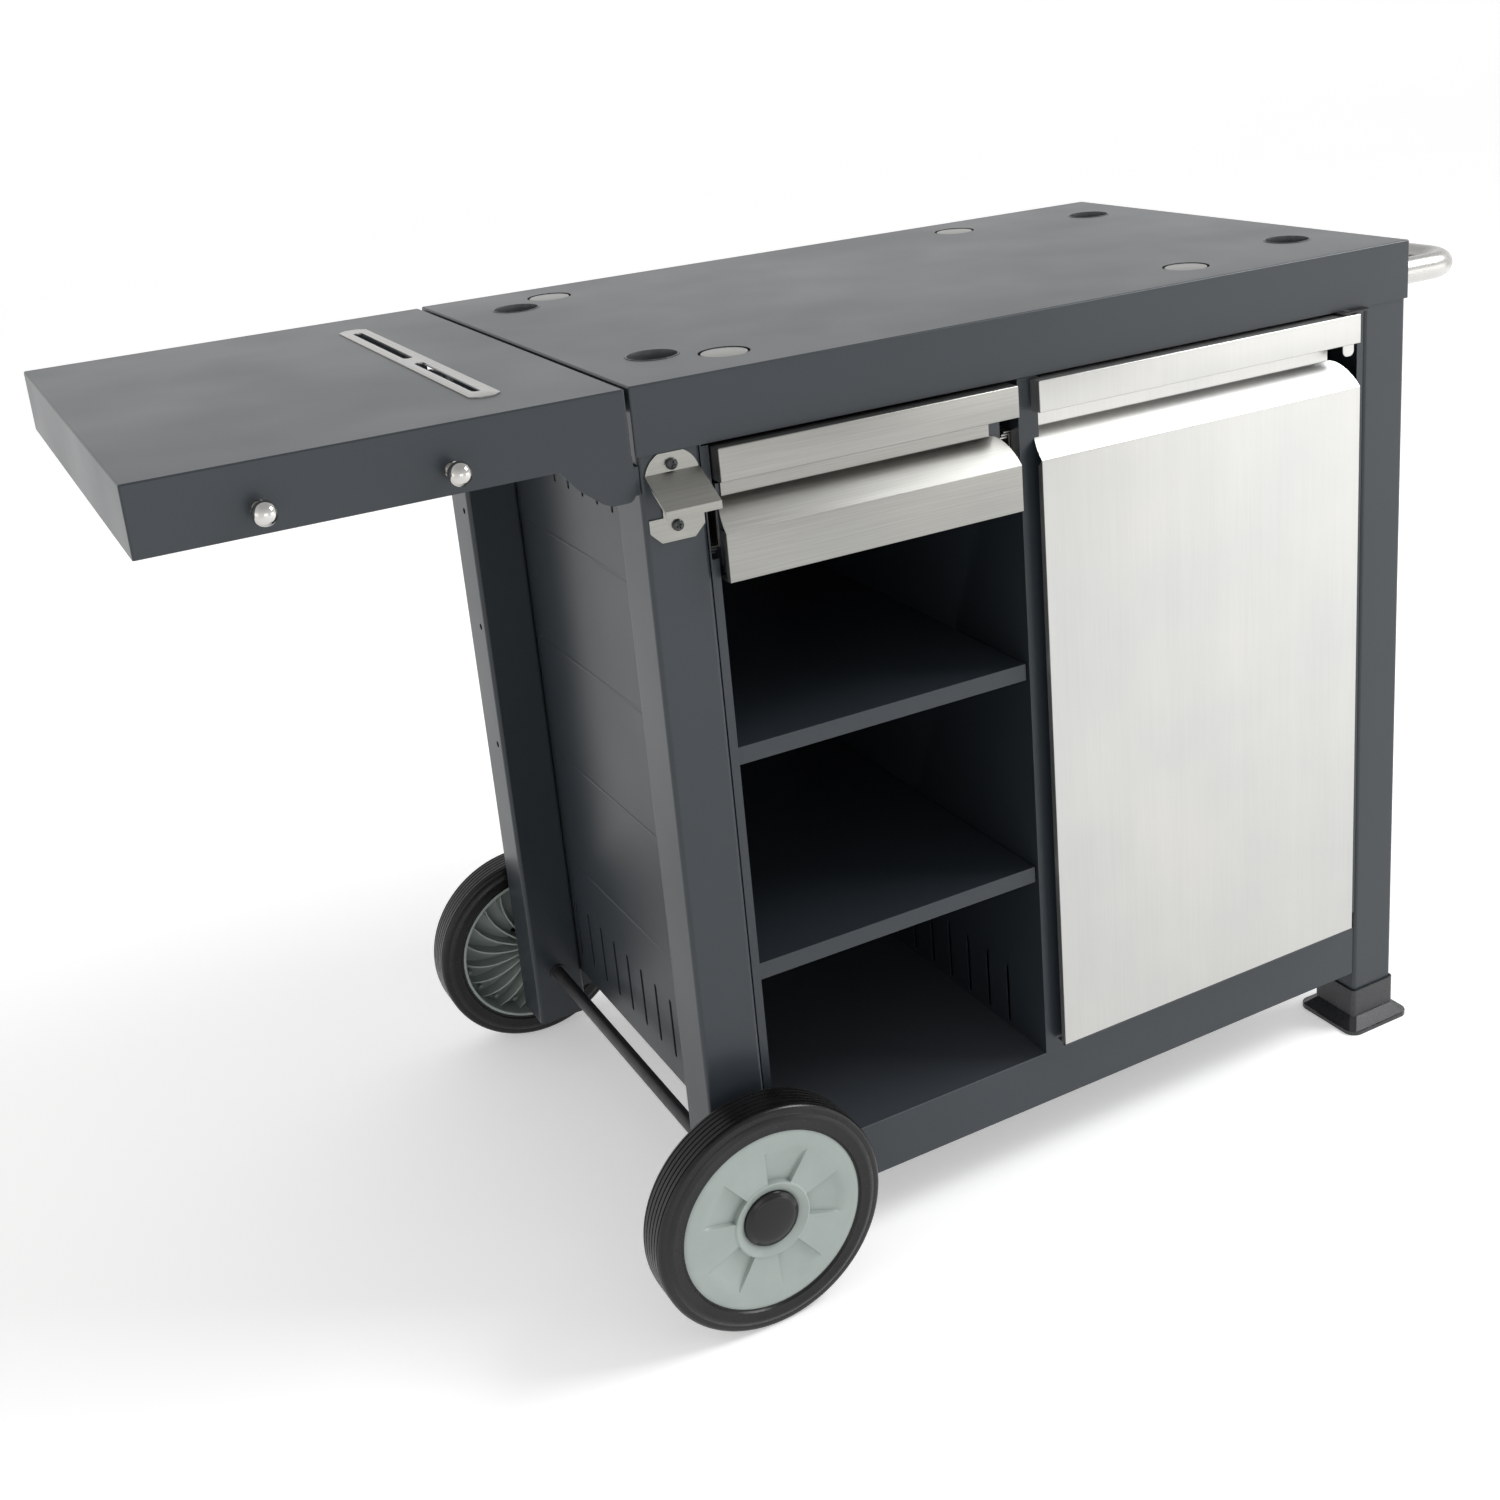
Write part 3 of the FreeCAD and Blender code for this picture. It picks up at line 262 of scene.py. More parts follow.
def dress_cad_nodes():
    for name, obj in frame["nodes"].items():
        obj.data.materials.clear()
        obj.data.materials.append(material_for(name))


# ---------------------------------------------------------------- mesh helpers
SHARP = 30.0                 # degrees: a fold sharper than this keeps a crisp edge


def finish_piece(name, mesh, node, material=None, sharp=SHARP):
    """Put a mesh in the scene in place of a CAD node, on that node's body and in its slot."""
    piece = bpy.data.objects.new(name, mesh)
    bpy.context.scene.collection.objects.link(piece)
    mesh.materials.clear()
    mesh.materials.append(material or material_for(node))
    mesh.shade_smooth()
    mesh.set_sharp_from_angle(angle=math.radians(sharp))
    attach(piece, BODY_OF[node])
    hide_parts(node)


def apply_modifiers(mesh, name, settings):
    """Run a list of (type, {option: value}) modifiers on a mesh and return the result."""
    carrier = bpy.data.objects.new(name, mesh)
    bpy.context.scene.collection.objects.link(carrier)
    for kind, options in settings:
        modifier = carrier.modifiers.new(kind.lower(), kind)
        for key, value in options.items():
            setattr(modifier, key, value)
    bpy.context.view_layer.update()
    graph = bpy.context.evaluated_depsgraph_get()
    result = bpy.data.meshes.new_from_object(carrier.evaluated_get(graph))
    result.name = name
    bpy.data.objects.remove(carrier)
    bpy.data.meshes.remove(mesh)
    return result


def bevel(width, segments):
    """Settings of a modifier that rounds every edge sharper than 25 degrees."""
    return ("BEVEL", {"width": width, "segments": segments, "limit_method": "ANGLE",
                      "angle_limit": math.radians(25.0), "use_clamp_overlap": True})


def soften(node, width, segments=2):
    """The CAD piece with its sheet edges rounded over and its flat faces kept flat in shading."""
    merge_dist, flat_angle = 0.005 * MM, math.radians(0.5)
    mesh = frame["nodes"][node].data.copy()
    work = bmesh.new()
    work.from_mesh(mesh)
    bmesh.ops.remove_doubles(work, verts=work.verts, dist=merge_dist)
    bmesh.ops.dissolve_limit(work, angle_limit=flat_angle, verts=work.verts, edges=work.edges)
    work.to_mesh(mesh)
    work.free()
    mesh = apply_modifiers(mesh, node + "_rounded", [bevel(width, segments)])
    mesh.shade_smooth()
    mesh.set_sharp_from_angle(angle=math.radians(SHARP))
    flat = ("WEIGHTED_NORMAL", {"weight": 100, "keep_sharp": True})
    mesh = apply_modifiers(mesh, node + "_rounded", [flat])
    finish_piece(node + "_rounded", mesh, node)


def sheet_mesh(name, faces, thickness, radius):
    """Sheet metal from flat faces given as (points, outward direction), folded with rounded bends."""
    work = bmesh.new()
    for points, outward in faces:
        corners = [work.verts.new(point) for point in points]
        face = work.faces.new(corners)
        face.normal_update()
        if face.normal.dot(Vector(outward)) < 0:
            face.normal_flip()
    bmesh.ops.remove_doubles(work, verts=work.verts, dist=0.01 * MM)
    mesh = bpy.data.meshes.new(name)
    work.to_mesh(mesh)
    work.free()
    solid = ("SOLIDIFY", {"thickness": thickness, "offset": -1.0, "use_even_offset": True})
    return apply_modifiers(mesh, name, [bevel(radius, 3), solid])


def turned(centre, way, radius, angle, depth):
    """A point at `radius` and `angle` (clockwise from the top) about Y, `depth` behind the outer face."""
    return (centre.x + radius * math.sin(angle), centre.y + way * depth, centre.z + radius * math.cos(angle))


def lathe(profile, centre, way, segments=96):
    """A turned piece about Y; the profile is a closed loop of (radius, depth from the outer face)."""
    verts, faces = [], []
    count = len(profile)
    for i in range(segments):
        a = 2 * math.pi * i / segments
        verts.extend(turned(centre, way, radius, a, depth) for radius, depth in profile)
    for i in range(segments):
        for j in range(count):
            a, b = i * count + j, i * count + (j + 1) % count
            c, d = ((i + 1) % segments) * count + (j + 1) % count, ((i + 1) % segments) * count + j
            faces.append((a, b, c, d))
    return verts, faces


def clean_mesh(name, verts, faces):
    """A mesh with doubles merged, flat leftovers removed and normals facing out."""
    merge_dist = 0.002 * MM
    mesh = bpy.data.meshes.new(name)
    mesh.from_pydata(verts, [], faces)
    work = bmesh.new()
    work.from_mesh(mesh)
    bmesh.ops.remove_doubles(work, verts=work.verts, dist=merge_dist)
    bmesh.ops.dissolve_degenerate(work, dist=merge_dist, edges=work.edges)
    bmesh.ops.recalc_face_normals(work, faces=work.faces)
    work.to_mesh(mesh)
    work.free()
    return mesh


def join(parts):
    """One (verts, faces) pair from several."""
    verts, faces = [], []
    for some_verts, some_faces in parts:
        base = len(verts)
        verts.extend(some_verts)
        faces.extend(tuple(base + i for i in face) for face in some_faces)
    return verts, faces


def arc(cx, cy, radius, start, end, steps):
    """Points on an arc, angles in degrees."""
    points = []
    for i in range(steps + 1):
        a = math.radians(start + (end - start) * i / steps)
        points.append((cx + radius * math.cos(a), cy + radius * math.sin(a)))
    return points


# ---------------------------------------------------------------- stainless fronts
SHEET_T = 0.9 * MM
BEND = 1.1 * MM
LIP_HEIGHT = 27.0 * MM
RECESS_DROP = 43.5 * MM      # from the lip's top to the foot of the recess wall
FACE_DROP = 68.0 * MM        # from the lip's top to the top of the flat face
RECESS_DEPTH = 22.0 * MM     # from the front plane to the recess wall
HEM = 6.0 * MM               # depth of the return at a free edge
TAB_RADIUS = 5.0 * MM
TAB_DROP = 13.0 * MM         # height of the tab under the lip's right end
TAB_INSET = 2.0 * MM


def quad(a, b, c, d, outward):
    """A four-cornered face for sheet_mesh."""
    return ([a, b, c, d], outward)


def slope_end(face_x, wall_x, front, wall, face_top, foot, steps=8):
    """Points up the rounded end of the finger slope, from the face's corner to the wall."""
    points = []
    for i in range(1, steps):
        a = math.pi / 2 * i / steps
        x = wall_x + (face_x - wall_x) * math.cos(a)
        share = math.sin(a)
        points.append((x, front + (wall - front) * share, face_top + (foot - face_top) * share))
    return points


def end_tab(x_low, x_high, y, top):
    """A small plate below the lip's end with its two lower corners rounded."""
    r = TAB_RADIUS
    outline = [(x_high, top), (x_low, top)]
    outline += arc(x_low + r, top - TAB_DROP + r, r, 180, 270, 5)
    outline += arc(x_high - r, top - TAB_DROP + r, r, 270, 360, 5)
    return ([(x, y, z) for x, z in outline], (0, -1, 0))


def make_front(node, wall_inset, edge_depth, material, tab=None):
    """A folded stainless front: lip on top, finger recess with a slope, and a flat face.

    The recess wall starts `wall_inset` in from the left and right ends, and the lip's ends and
    the bottom edge reach back by `edge_depth`. `tab` is the width of the tab under the lip.
    """
    low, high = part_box(node)
    x0, x1, front, top, base = low.x, high.x, low.y, high.z, low.z
    wall = front + RECESS_DEPTH
    wa, wb = x0 + wall_inset[0], x1 - wall_inset[1]
    lip, foot, face_top = top - LIP_HEIGHT, top - RECESS_DROP, top - FACE_DROP
    back = front + edge_depth
    fold = front + HEM
    hem_top = face_top - HEM
    upper = [
        ([(wa, wall, top), (wb, wall, top), (wb, back, top), (x1, back, top), (x1, front, top),
          (x0, front, top), (x0, back, top), (wa, back, top)], (0, 0, 1)),
        quad((x0, front, top), (x1, front, top), (x1, front, lip), (x0, front, lip), (0, -1, 0)),
        quad((x0, front, lip), (x1, front, lip), (x1, fold, lip), (x0, fold, lip), (0, 0, -1)),
        quad((x0, front, lip), (x0, back, lip), (x0, back, top), (x0, front, top), (-1, 0, 0)),
        quad((x1, front, lip), (x1, back, lip), (x1, back, top), (x1, front, top), (1, 0, 0))]
    right = slope_end(x1, wb, front, wall, face_top, foot)
    left = slope_end(x0, wa, front, wall, face_top, foot)
    under = top - SHEET_T
    lower = [
        quad((wa, wall, foot), (wb, wall, foot), (wb, wall, under), (wa, wall, under), (0, -1, 0)),
        ([(x0, front, face_top), (x1, front, face_top)] + right
         + [(wb, wall, foot), (wa, wall, foot)] + left[::-1], (0, -1, 1)),
        quad((x0, front, face_top), (x1, front, face_top), (x1, front, base), (x0, front, base), (0, -1, 0)),
        quad((x0, front, base), (x1, front, base), (x1, back, base), (x0, back, base), (0, 0, -1)),
        quad((x0, front, base), (x0, front, face_top), (x0, fold, hem_top), (x0, fold, base), (-1, 0, 0)),
        quad((x1, front, base), (x1, front, face_top), (x1, fold, hem_top), (x1, fold, base), (1, 0, 0))]
    if tab:
        tab_end = x1 - TAB_INSET
        upper.append(end_tab(tab_end - tab, tab_end, fold + SHEET_T, lip + SHEET_T))
    work = bmesh.new()
    for name, faces in (("upper", upper), ("lower", lower)):
        mesh = sheet_mesh(node + "_" + name, faces, SHEET_T, BEND)
        work.from_mesh(mesh)
        bpy.data.meshes.remove(mesh)
    mesh = bpy.data.meshes.new(node + "_folded")
    work.to_mesh(mesh)
    work.free()
    finish_piece(node + "_folded", mesh, node, material)


def make_fronts():
    # The drawer front takes the darker copy of the stainless, painted shade.
    make_front("drawer_front", (9 * MM, 17 * MM), 20 * MM, STEEL_PAINTED_SHADE)
    make_front("door_skin", (11.5 * MM, 20 * MM), 13 * MM, STEEL_Z, tab=13 * MM)


# ---------------------------------------------------------------- wheels
POCKETS = 5
POCKET_START = -2.0          # degrees clockwise from the top, seen from the front
RIBS = 20                    # on the back of the dish
TREAD_RIBS = 5
GROOVE_SHAPE = ((-0.5, 0.0), (-0.32, 0.75), (-0.12, 1.0), (0.12, 1.0), (0.32, 0.75), (0.5, 0.0))
SIDEWALL_POINTS = 15         # points of the tyre's profile that are repeated on its inner side
POCKET_DEPTH = 4.6 * MM
HUB_RING = 35.0 * MM         # radius of the raised ring around the hub
BORE = 24.0 * MM             # radius of the dish's central hole


def tyre_profile(width, outer, inner):
    """Solid tyre: sunk bead, rounded sidewalls and a tread of five ribs."""
    shoulder = 6.5 * MM
    groove_deep, groove_wide = 1.6 * MM, 1.5 * MM
    tread = outer - 0.2 * MM
    points = [(inner - 3 * MM, 2.5 * MM), (inner + 0.6 * MM, 2.2 * MM), (inner + 1.6 * MM, 0.5 * MM)]
    points += arc(outer - 12 * MM, 5.0 * MM, 5.0 * MM, 250, 300, 4)
    points += [(outer - 7.6 * MM, 1.5 * MM), (outer - 7.0 * MM, 2.1 * MM)]
    points += arc(tread - 4.6 * MM, 4.6 * MM + 2.1 * MM, 4.6 * MM, -75, -10, 5)
    first, last = shoulder + 0.8 * MM, width - shoulder - 0.8 * MM
    pitch = (last - first) / TREAD_RIBS
    for i in range(TREAD_RIBS + 1):
        at = first + pitch * i
        points.extend((tread - groove_deep * share, at + groove_wide * step) for step, share in GROOVE_SHAPE)
    mirrored = [(r, width - d) for r, d in points[:SIDEWALL_POINTS]]
    return points + mirrored[::-1]


def rim_depth(radius, angle, face):
    """Depth of the wheel's moulded face at a radius and an angle in degrees."""
    edge, band = face["edge"], face["band"]
    if radius >= band:
        turn = (radius - band) / (edge - band)
        return 1.2 * MM + 1.6 * MM * turn ** 6
    if radius <= face["hub"]:
        return 2.4 * MM
    step = 180.0 / POCKETS
    place = (angle - POCKET_START) % (2 * step)
    inside = min(place, step - place) if place < step else -1.0
    wall = max(0.0, min(1.0, inside))
    slope = max(0.0, 1.0 - (radius - face["hub"]) / (face["pocket"] - face["hub"]))
    base = 3.0 * MM - 1.8 * MM * (radius - face["hub"]) / (band - face["hub"])
    return base + wall * POCKET_DEPTH * slope ** 0.42


def rim_face(centre, way, edge):
    """The moulded dish of the wheel: hub ring, five sloped pockets and five broad spokes."""
    face = {"edge": edge, "band": edge - 11 * MM, "hub": HUB_RING, "pocket": edge - 17 * MM}
    step = 180.0 / POCKETS
    angles = []
    for i in range(2 * POCKETS):
        start = POCKET_START + i * step
        angles.extend(start + d for d in (0.0, 0.5, 1.0))
        angles.extend(start + 1.0 + (step - 2.0) * k / 9 for k in range(1, 9))
        angles.extend(start + step - d for d in (1.0, 0.5))
    hub = face["hub"]
    radii = [BORE, 25.9 * MM, hub - 1.2 * MM, hub, hub + 0.6 * MM]
    radii += [hub + 0.6 * MM + (face["pocket"] - hub) * k / 8 for k in range(1, 9)]
    radii += [face["band"] - 2 * MM, face["band"]]
    radii += [face["band"] + (edge - face["band"]) * k / 6 for k in range(1, 7)]
    back = [(edge, 7 * MM), (edge - 4 * MM, 7 * MM), (edge - 8 * MM, 5.5 * MM), (60 * MM, 8 * MM),
            (hub + 2 * MM, 14 * MM), (BORE, 14 * MM)]
    hub_seat = (8 * MM, 6 * MM, 2.0 * MM)    # depths of the three innermost rings of points
    verts, faces = [], []
    count = len(radii) + len(back)
    for angle in angles:
        a = math.radians(angle)
        stations = [(r, rim_depth(r, angle, face)) for r in radii] + back
        for k, depth in enumerate(hub_seat):
            stations[k] = (stations[k][0], depth)
        verts.extend(turned(centre, way, radius, a, depth) for radius, depth in stations)
    total = len(angles)
    for i in range(total):
        for j in range(count):
            after = (j + 1) % count
            nxt = (i + 1) % total
            faces.append((i * count + j, i * count + after, nxt * count + after, nxt * count + j))
    return verts, faces


def rim_rib(centre, way, index, inner, outer, near, far):
    """One thin curved rib on the back of the dish, lower at its outer end."""
    verts, faces = [], []
    steps = 7
    half = 0.9 * MM
    sweep = 0.30             # how far the rib curves round by its outer end, in radians
    for i in range(steps + 1):
        share = i / steps
        radius = inner + (outer - inner) * share
        a = 2 * math.pi * index / RIBS + sweep * share * share
        across = half / radius
        low, high = near - 3.5 * MM * share, far - 9 * MM * share
        for turn, depth in ((a - across, low), (a + across, low), (a + across, high), (a - across, high)):
            verts.append(turned(centre, way, radius, turn, depth))
    for i in range(steps):
        for j in range(4):
            a, b = 4 * i + j, 4 * i + (j + 1) % 4
            faces.append((a, b, b + 4, a + 4))
    faces.append((3, 2, 1, 0))
    faces.append(tuple(4 * steps + j for j in range(4)))
    return verts, faces


def rim_boss(centre, way, index, radius, near, far):
    """A small round boss beside a rib's outer end."""
    a = 2 * math.pi * (index + 0.5) / RIBS + 0.2
    seat = Vector((centre.x + radius * math.sin(a), centre.y, centre.z + radius * math.cos(a)))
    r = 2.2 * MM
    chamfer = 0.4 * MM
    profile = [(0.0, near), (r, near), (r, far - chamfer), (r - chamfer, far), (0.0, far)]
    return lathe(profile, seat, way, 16)


def make_wheel(end, way):
    """One wheel's tyre, dish and cap; `way` is +1 where the outer face looks to the front."""
    low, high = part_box(end + "_tyre")
    centre = Vector(((low.x + high.x) / 2, low.y if way > 0 else high.y, (low.z + high.z) / 2))
    outer, width = (high.z - low.z) / 2, high.y - low.y
    rim_low, rim_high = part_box(end + "_rim")
    edge = (rim_high.z - rim_low.z) / 2
    profile = tyre_profile(width, outer, edge)
    mesh = clean_mesh(end + "_tyre_ribbed", *lathe(profile, centre, way, 144))
    finish_piece(end + "_tyre_ribbed", mesh, end + "_tyre", sharp=40.0)

    drum_out, drum_in = edge - 1.6 * MM, edge - 4.6 * MM
    rounded, back = width - 2.4 * MM, width - 1.8 * MM
    drum = lathe([(drum_out, 5 * MM), (drum_out, rounded), (drum_out - 0.6 * MM, back),
                  (drum_in + 0.6 * MM, back), (drum_in, rounded), (drum_in, 5 * MM)], centre, way)
    hub_end = rim_high.y - rim_low.y + (rim_low.y - low.y if way > 0 else high.y - rim_high.y)
    hub = lathe([(12 * MM, 12 * MM), (18 * MM, 12 * MM), (18 * MM, hub_end - 0.8 * MM),
                 (17.2 * MM, hub_end), (12 * MM, hub_end)], centre, way, 48)
    parts = [rim_face(centre, way, edge), drum, hub]
    for index in range(RIBS):
        parts.append(rim_rib(centre, way, index, 17.5 * MM, drum_in + 0.4 * MM, 13 * MM, width - 7 * MM))
        parts.append(rim_boss(centre, way, index, drum_in - 6 * MM, 6 * MM, 15 * MM))
    mesh = clean_mesh(end + "_rim_moulded", *join(parts))
    finish_piece(end + "_rim_moulded", mesh, end + "_rim", sharp=28.0)

    cap_low, cap_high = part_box(end + "_hub_cap")
    cap_r = (cap_high.z - cap_low.z) / 2
    dome_r, dome_rise = cap_r * 0.86, 3.0 * MM
    dome = [(0.0, 0.0)]
    dome += [(dome_r * math.sin(a), dome_rise * (1 - math.cos(a)))
             for a in (math.pi / 2 * k / 8 for k in range(1, 9))]
    dome += [(cap_r - 1.0 * MM, 3.6 * MM), (cap_r - 0.2 * MM, 4.6 * MM), (cap_r, 5.6 * MM),
             (cap_r, 9.6 * MM), (cap_r - 2 * MM, 9.6 * MM), (cap_r - 2 * MM, 6.0 * MM),
             (cap_r - 8 * MM, 4.6 * MM), (0.0, 2.4 * MM)]
    mesh = clean_mesh(end + "_hub_cap_domed", *lathe(dome, centre, way, 72))
    finish_piece(end + "_hub_cap_domed", mesh, end + "_hub_cap", sharp=50.0)


def make_wheels():
    make_wheel("front", 1.0)
    make_wheel("rear", -1.0)


# ---------------------------------------------------------------- rounded sheet pieces
THIN_SHEETS = ("divider_panel", "bottom_rail_front", "bottom_rail_rear", "bay_shelf_upper", "bay_shelf_lower")
FOLDED_TOPS = ("deck_top", "side_shelf_panel")


def make_rounded_sheets():
    for node in THIN_SHEETS:
        soften(node, 0.45 * MM)
    for node in FOLDED_TOPS:
        soften(node, 0.7 * MM, 3)
    soften("bottle_opener", 0.35 * MM)
    soften("slotted_plate", 0.25 * MM)


# ---------------------------------------------------------------- cross-head screws
def cross_head_mesh(name, radius, height, below):
    """A pan head with a cross recess: its seat is at z = 0 and its shank goes down by `below`."""
    shank = radius * 0.5
    crown = [(radius * math.cos(a), height * (0.45 + 0.55 * math.sin(a)))
             for a in (math.radians(15 * k) for k in range(6))]
    profile = [(0.0, -below), (shank, -below), (shank, 0.0), (radius, 0.0)] + crown + [(0.0, height)]
    verts, faces = lathe_up(profile, 0.0, 0.0, 48)
    head = clean_mesh(name, verts, faces)
    arm, half = radius * 0.56, radius * 0.12
    work = bmesh.new()
    for wide, deep in ((arm, half), (half, arm)):
        bmesh.ops.create_cube(work, size=2.0, matrix=Matrix.Translation((0, 0, height * 1.3))
                              @ Matrix.Diagonal((wide, deep, height * 0.85, 1.0)))
    cutter_mesh = bpy.data.meshes.new(name + "_cross")
    work.to_mesh(cutter_mesh)
    work.free()
    cutter = bpy.data.objects.new(name + "_cross", cutter_mesh)
    bpy.context.scene.collection.objects.link(cutter)
    cut = ("BOOLEAN", {"object": cutter, "operation": "DIFFERENCE", "solver": "EXACT", "use_self": True})
    head = apply_modifiers(head, name, [cut])
    bpy.data.objects.remove(cutter)
    bpy.data.meshes.remove(cutter_mesh)
    return head


def make_cross_heads(node, seats, radius, height, below, turn):
    """Copies of one cross-head screw at `seats`, each turned out of the upright by matrix `turn`."""
    one = cross_head_mesh(node + "_one", radius, height, below)
    work = bmesh.new()
    for index, seat in enumerate(seats):
        place = Matrix.Translation(seat) @ turn @ Matrix.Rotation(math.radians(25 + 40 * index), 4, "Z")
        copy = one.copy()
        copy.transform(place)
        work.from_mesh(copy)
        bpy.data.meshes.remove(copy)
    mesh = bpy.data.meshes.new(node + "_cross_head")
    work.to_mesh(mesh)
    work.free()
    bpy.data.meshes.remove(one)
    finish_piece(node + "_cross_head", mesh, node, sharp=40.0)


def make_opener_screws():
    low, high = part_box("bottle_opener_screws")
    radius, height = 4.6 * MM, 2.6 * MM
    x = (low.x + high.x) / 2
    seats = [Vector((x, low.y + height, z)) for z in (low.z + radius, high.z - radius)]
    forward = Matrix.Rotation(math.radians(90), 4, "X")
    make_cross_heads("bottle_opener_screws", seats, radius, height, high.y - low.y - height, forward)


# ---------------------------------------------------------------- deck inserts
SPOT_REACH = 60.0 * MM       # an insert fits within this, and the next one is further away
DISC_R = 19.0 * MM
DISC_EDGE = 0.7 * MM         # rounding of a disc's upper edge
SEAT_R = 25.0 * MM
CUP_R = 21.6 * MM            # outer radius of a cup's wall below the deck
CUP_FLANGE_R = 25.5 * MM
CUP_LIP = 0.5 * MM           # rounding of a cup's upper edge
CUP_SCREW_OUT = 9.0 * MM     # from a cup's middle to each of its two screws


def spots(node):
    """Centres of a node's separate round solids, seen from above."""
    points = [vertex.co for vertex in frame["nodes"][node].data.vertices]
    centres = []
    for point in points:
        if not any(math.hypot(point.x - x, point.y - y) < SPOT_REACH for x, y in centres):
            centres.append((point.x, point.y))
    found = []
    for cx, cy in centres:
        near = [p for p in points if math.hypot(p.x - cx, p.y - cy) < SPOT_REACH]
        found.append(((min(p.x for p in near) + max(p.x for p in near)) / 2,
                      (min(p.y for p in near) + max(p.y for p in near)) / 2))
    return found


def lathe_up(profile, x, y, segments=64):
    """A turned piece about Z from a closed loop of (radius, height)."""
    verts, faces = lathe(profile, Vector((0, 0, 0)), 1.0, segments)
    return [(x + v[0], y - v[2], v[1]) for v in verts], faces


def make_discs():
    """Satin metal discs, each in a dark moulded seat a little below the deck's face; the dark ring this shows
    round each disc is partly the paint's edge and partly painted shade in the gap.
    """
    low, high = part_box("landing_discs")
    top, pad, edge = high.z, DISC_R, DISC_EDGE
    discs, seats = [], []
    for x, y in spots("landing_discs"):
        profile = [(0.0, top), (pad - edge, top)]
        profile += [(pad - edge + edge * math.sin(a), top - edge + edge * math.cos(a))
                    for a in (math.radians(18 * k) for k in range(1, 6))]
        profile += [(pad, low.z + 1.5 * MM), (0.0, low.z + 1.5 * MM)]
        discs.append(lathe_up(profile, x, y))
        seats.append(lathe_up([(pad - MM, low.z), (SEAT_R, low.z), (SEAT_R, low.z + 1.4 * MM),
                               (pad + 0.3 * MM, low.z + 1.4 * MM), (pad + 0.3 * MM, low.z + 2.2 * MM),
                               (pad - MM, low.z + 2.2 * MM)], x, y))
    mesh = clean_mesh("landing_discs_turned", *join(discs + seats))
    finish_piece("landing_discs_turned", mesh, "landing_discs", sharp=40.0)
    # The seat's faces take black plastic, partly painted shade that darkens the gap round each disc.
    mesh.materials.append(BLACK_PLASTIC)
    for polygon in mesh.polygons:
        if polygon.center.z < low.z + 2.3 * MM:
            polygon.material_index = 1


def make_cups():
    """Moulded foot cups with a rounded lip, a stepped wall and a flat floor that holds two screws."""
    low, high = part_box("foot_cups")
    screw_low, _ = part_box("foot_cup_screws")
    lip, floor = high.z, low.z + 4.0 * MM
    cups = []
    for x, y in spots("foot_cups"):
        profile = [(0.0, low.z), (CUP_R, low.z), (CUP_R, lip - 3.4 * MM), (CUP_FLANGE_R, lip - 3.4 * MM),
                   (CUP_FLANGE_R, lip - 1.9 * MM), (21.7 * MM, lip - 1.9 * MM), (21.7 * MM, lip - CUP_LIP)]
        profile += [(21.2 * MM + CUP_LIP * math.cos(a), lip - CUP_LIP + CUP_LIP * math.sin(a))
                    for a in (math.radians(22.5 * k) for k in range(1, 5))]
        profile += [(20.6 * MM, lip - 0.1 * MM), (20.35 * MM, lip - 0.8 * MM), (20.3 * MM, floor + 1.6 * MM),
                    (19.4 * MM, floor + 0.4 * MM), (18.6 * MM, floor), (0.0, floor)]
        cups.append(lathe_up(profile, x, y, 72))
    mesh = clean_mesh("foot_cups_moulded", *join(cups))
    finish_piece("foot_cups_moulded", mesh, "foot_cups", sharp=35.0)
    sides = (-CUP_SCREW_OUT, CUP_SCREW_OUT)
    seats = [Vector((x + side, y, floor)) for x, y in spots("foot_cup_screws") for side in sides]
    make_cross_heads("foot_cup_screws", seats, 3.6 * MM, 2.0 * MM, floor - screw_low.z, Matrix.Identity(4))


# ---------------------------------------------------------------- stage, light and camera
STAGE_FLAT = 7.0             # radius of the flat floor
STAGE_SWEEP = 5.0            # radius of the sweep that carries the floor up into a wall
STAGE_GLOW = 0.34
SKY_LOW = 0.95               # strength of the world's light near the horizon and below
SKY_HIGH = 0.55              # and overhead


def make_stage():
    """A round pale floor that sweeps up into a wall on every side, so that no horizon shows."""
    profile = [(0.0, 0.0), (STAGE_FLAT, 0.0)]
    profile += [(STAGE_FLAT + STAGE_SWEEP * math.sin(a), STAGE_SWEEP * (1 - math.cos(a)))
                for a in (math.radians(7.5 * k) for k in range(1, 9))]
    work = bmesh.new()
    line = [work.verts.new((radius, 0.0, height)) for radius, height in profile]
    edges = [work.edges.new(pair) for pair in zip(line, line[1:])]
    bmesh.ops.spin(work, geom=line + edges, cent=(0, 0, 0), axis=(0, 0, 1), angle=2 * math.pi, steps=96)
    bmesh.ops.remove_doubles(work, verts=work.verts, dist=MM)
    bmesh.ops.recalc_face_normals(work, faces=work.faces)
    mesh = bpy.data.meshes.new("floor")
    work.to_mesh(mesh)
    work.free()
    mesh.shade_smooth()
    floor = bpy.data.objects.new("floor", mesh)
    bpy.context.scene.collection.objects.link(floor)
    material, tree, shader = shader_of("pale_floor", 0.9, specular=0.1)
    cloud = noise(tree, 0.8)
    colour = two_colours(tree, cloud, (0.90, 0.90, 0.895), (0.91, 0.91, 0.905))
    tree.links.new(colour, shader.inputs["Base Color"])
    shader.inputs["Emission Color"].default_value = (*WHITE, 1.0)
    shader.inputs["Emission Strength"].default_value = STAGE_GLOW
    mesh.materials.append(material)


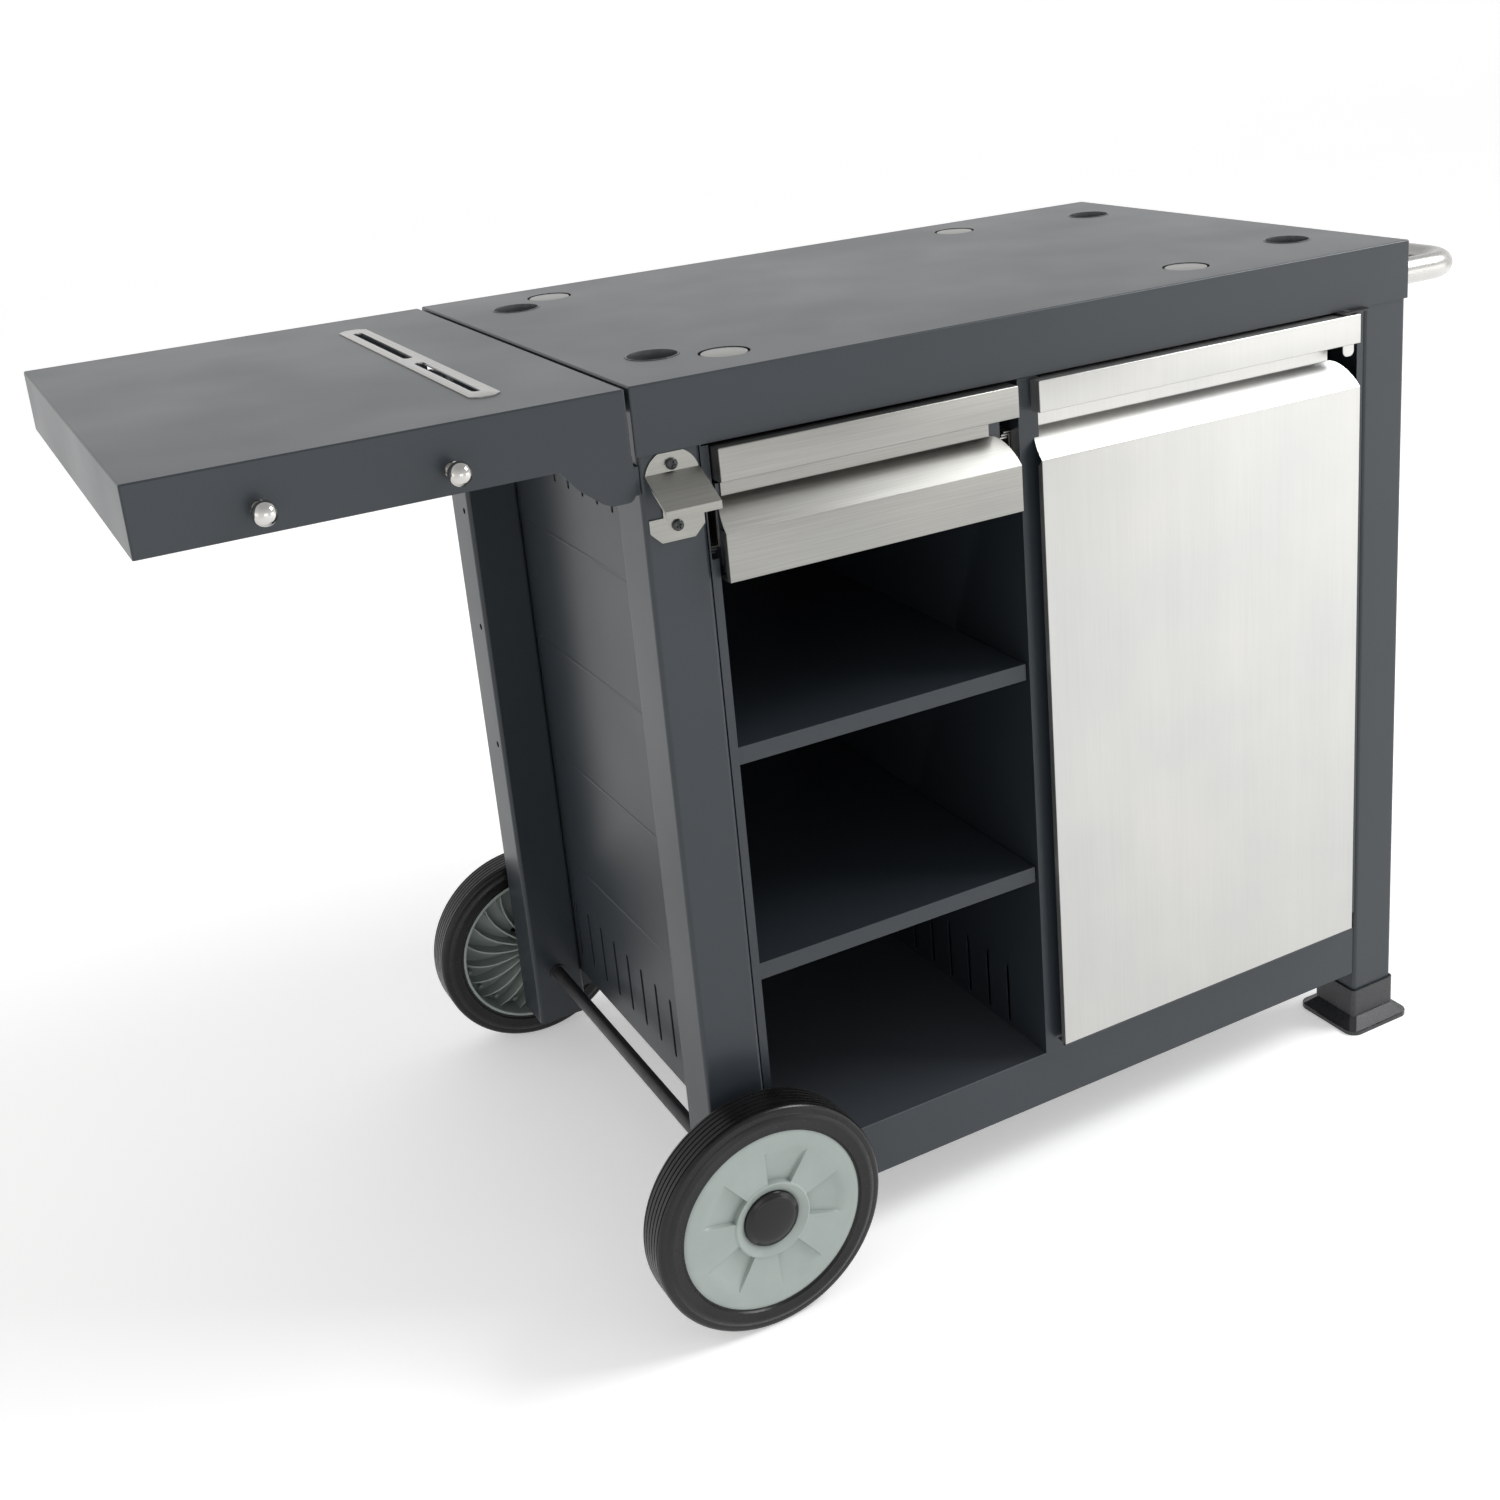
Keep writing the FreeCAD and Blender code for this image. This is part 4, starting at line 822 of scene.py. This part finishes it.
def make_world():
    """Even white light from all round, weaker from overhead."""
    world = bpy.data.worlds.new("studio")
    world.use_nodes = True
    tree = world.node_tree
    place = tree.nodes.new("ShaderNodeTexCoord")
    split = tree.nodes.new("ShaderNodeSeparateXYZ")
    tree.links.new(place.outputs["Generated"], split.inputs["Vector"])
    level = spread(tree, split.outputs["Z"], SKY_LOW, SKY_HIGH, 0.1, 0.9)
    tree.links.new(level, tree.nodes["Background"].inputs["Strength"])
    tree.nodes["Background"].inputs["Color"].default_value = (*WHITE, 1.0)
    bpy.context.scene.world = world
    bpy.context.scene.view_settings.view_transform = "Standard"


def softbox(name, place, target, size, power, colour):
    """A rectangular lamp at `place` that faces `target`; power in watts."""
    light = bpy.data.lights.new(name, "AREA")
    light.shape = "RECTANGLE"
    light.size, light.size_y = size
    light.energy = power
    light.color = colour
    lamp = bpy.data.objects.new(name, light)
    lamp.location = place
    lamp.rotation_euler = (Vector(target) - Vector(place)).to_track_quat("-Z", "Y").to_euler()
    bpy.context.scene.collection.objects.link(lamp)


def make_lights():
    softbox("softbox_right", (3.4, -2.9, 0.6), (0.4, -0.2, 0.3), (3.0, 1.2), 13.0, (1.0, 0.99, 0.97))
    softbox("softbox_left", (-3.2, -0.5, 0.9), (-0.3, 0.0, 0.45), (1.6, 1.2), 3.0, (1.0, 0.84, 0.68))
    softbox("softbox_top_right", (3.0, -1.45, 3.2), (0.25, -0.25, 0.7), (1.7, 1.5), 105.0, (0.98, 0.99, 1.0))
    softbox("softbox_fill", (-0.6, -3.2, 0.8), (0.0, 0.0, 0.4), (1.6, 1.2), 5.0, (0.97, 0.99, 1.0))


CAMERA_AT = Vector((-0.76195, -1.48396, 1.10295))
CAMERA_TURN = 27.68          # degrees from straight ahead (+Y) towards +X
CAMERA_DIP = 18.28           # degrees below level
CAMERA_ROLL = -4.67          # degrees about the line of sight
CAMERA_LENS = 44.11          # millimetres, on the sensor below
CAMERA_SENSOR = 36.0
CAMERA_SHIFT = (-0.0458, -0.1197)
CAMERA_REACH = 200.0


def make_camera():
    turn, dip, roll = (math.radians(v) for v in (CAMERA_TURN, CAMERA_DIP, CAMERA_ROLL))
    ahead = Vector((math.sin(turn) * math.cos(dip), math.cos(turn) * math.cos(dip), -math.sin(dip)))
    right = ahead.cross(Vector((0, 0, 1))).normalized()
    up = right.cross(ahead)
    side = right * math.cos(roll) + up * math.sin(roll)
    top = up * math.cos(roll) - right * math.sin(roll)
    data = bpy.data.cameras.new("camera")
    data.sensor_width = CAMERA_SENSOR
    data.lens = CAMERA_LENS
    data.shift_x, data.shift_y = CAMERA_SHIFT
    data.clip_end = CAMERA_REACH
    camera = bpy.data.objects.new("camera", data)
    camera.matrix_world = Matrix.Translation(CAMERA_AT) @ Matrix((side, top, -ahead)).transposed().to_4x4()
    bpy.context.scene.collection.objects.link(camera)
    bpy.context.scene.camera = camera


dress_cad_nodes()
make_fronts()
make_wheels()
make_rounded_sheets()
make_opener_screws()
make_discs()
make_cups()
make_stage()
make_world()
make_lights()
make_camera()
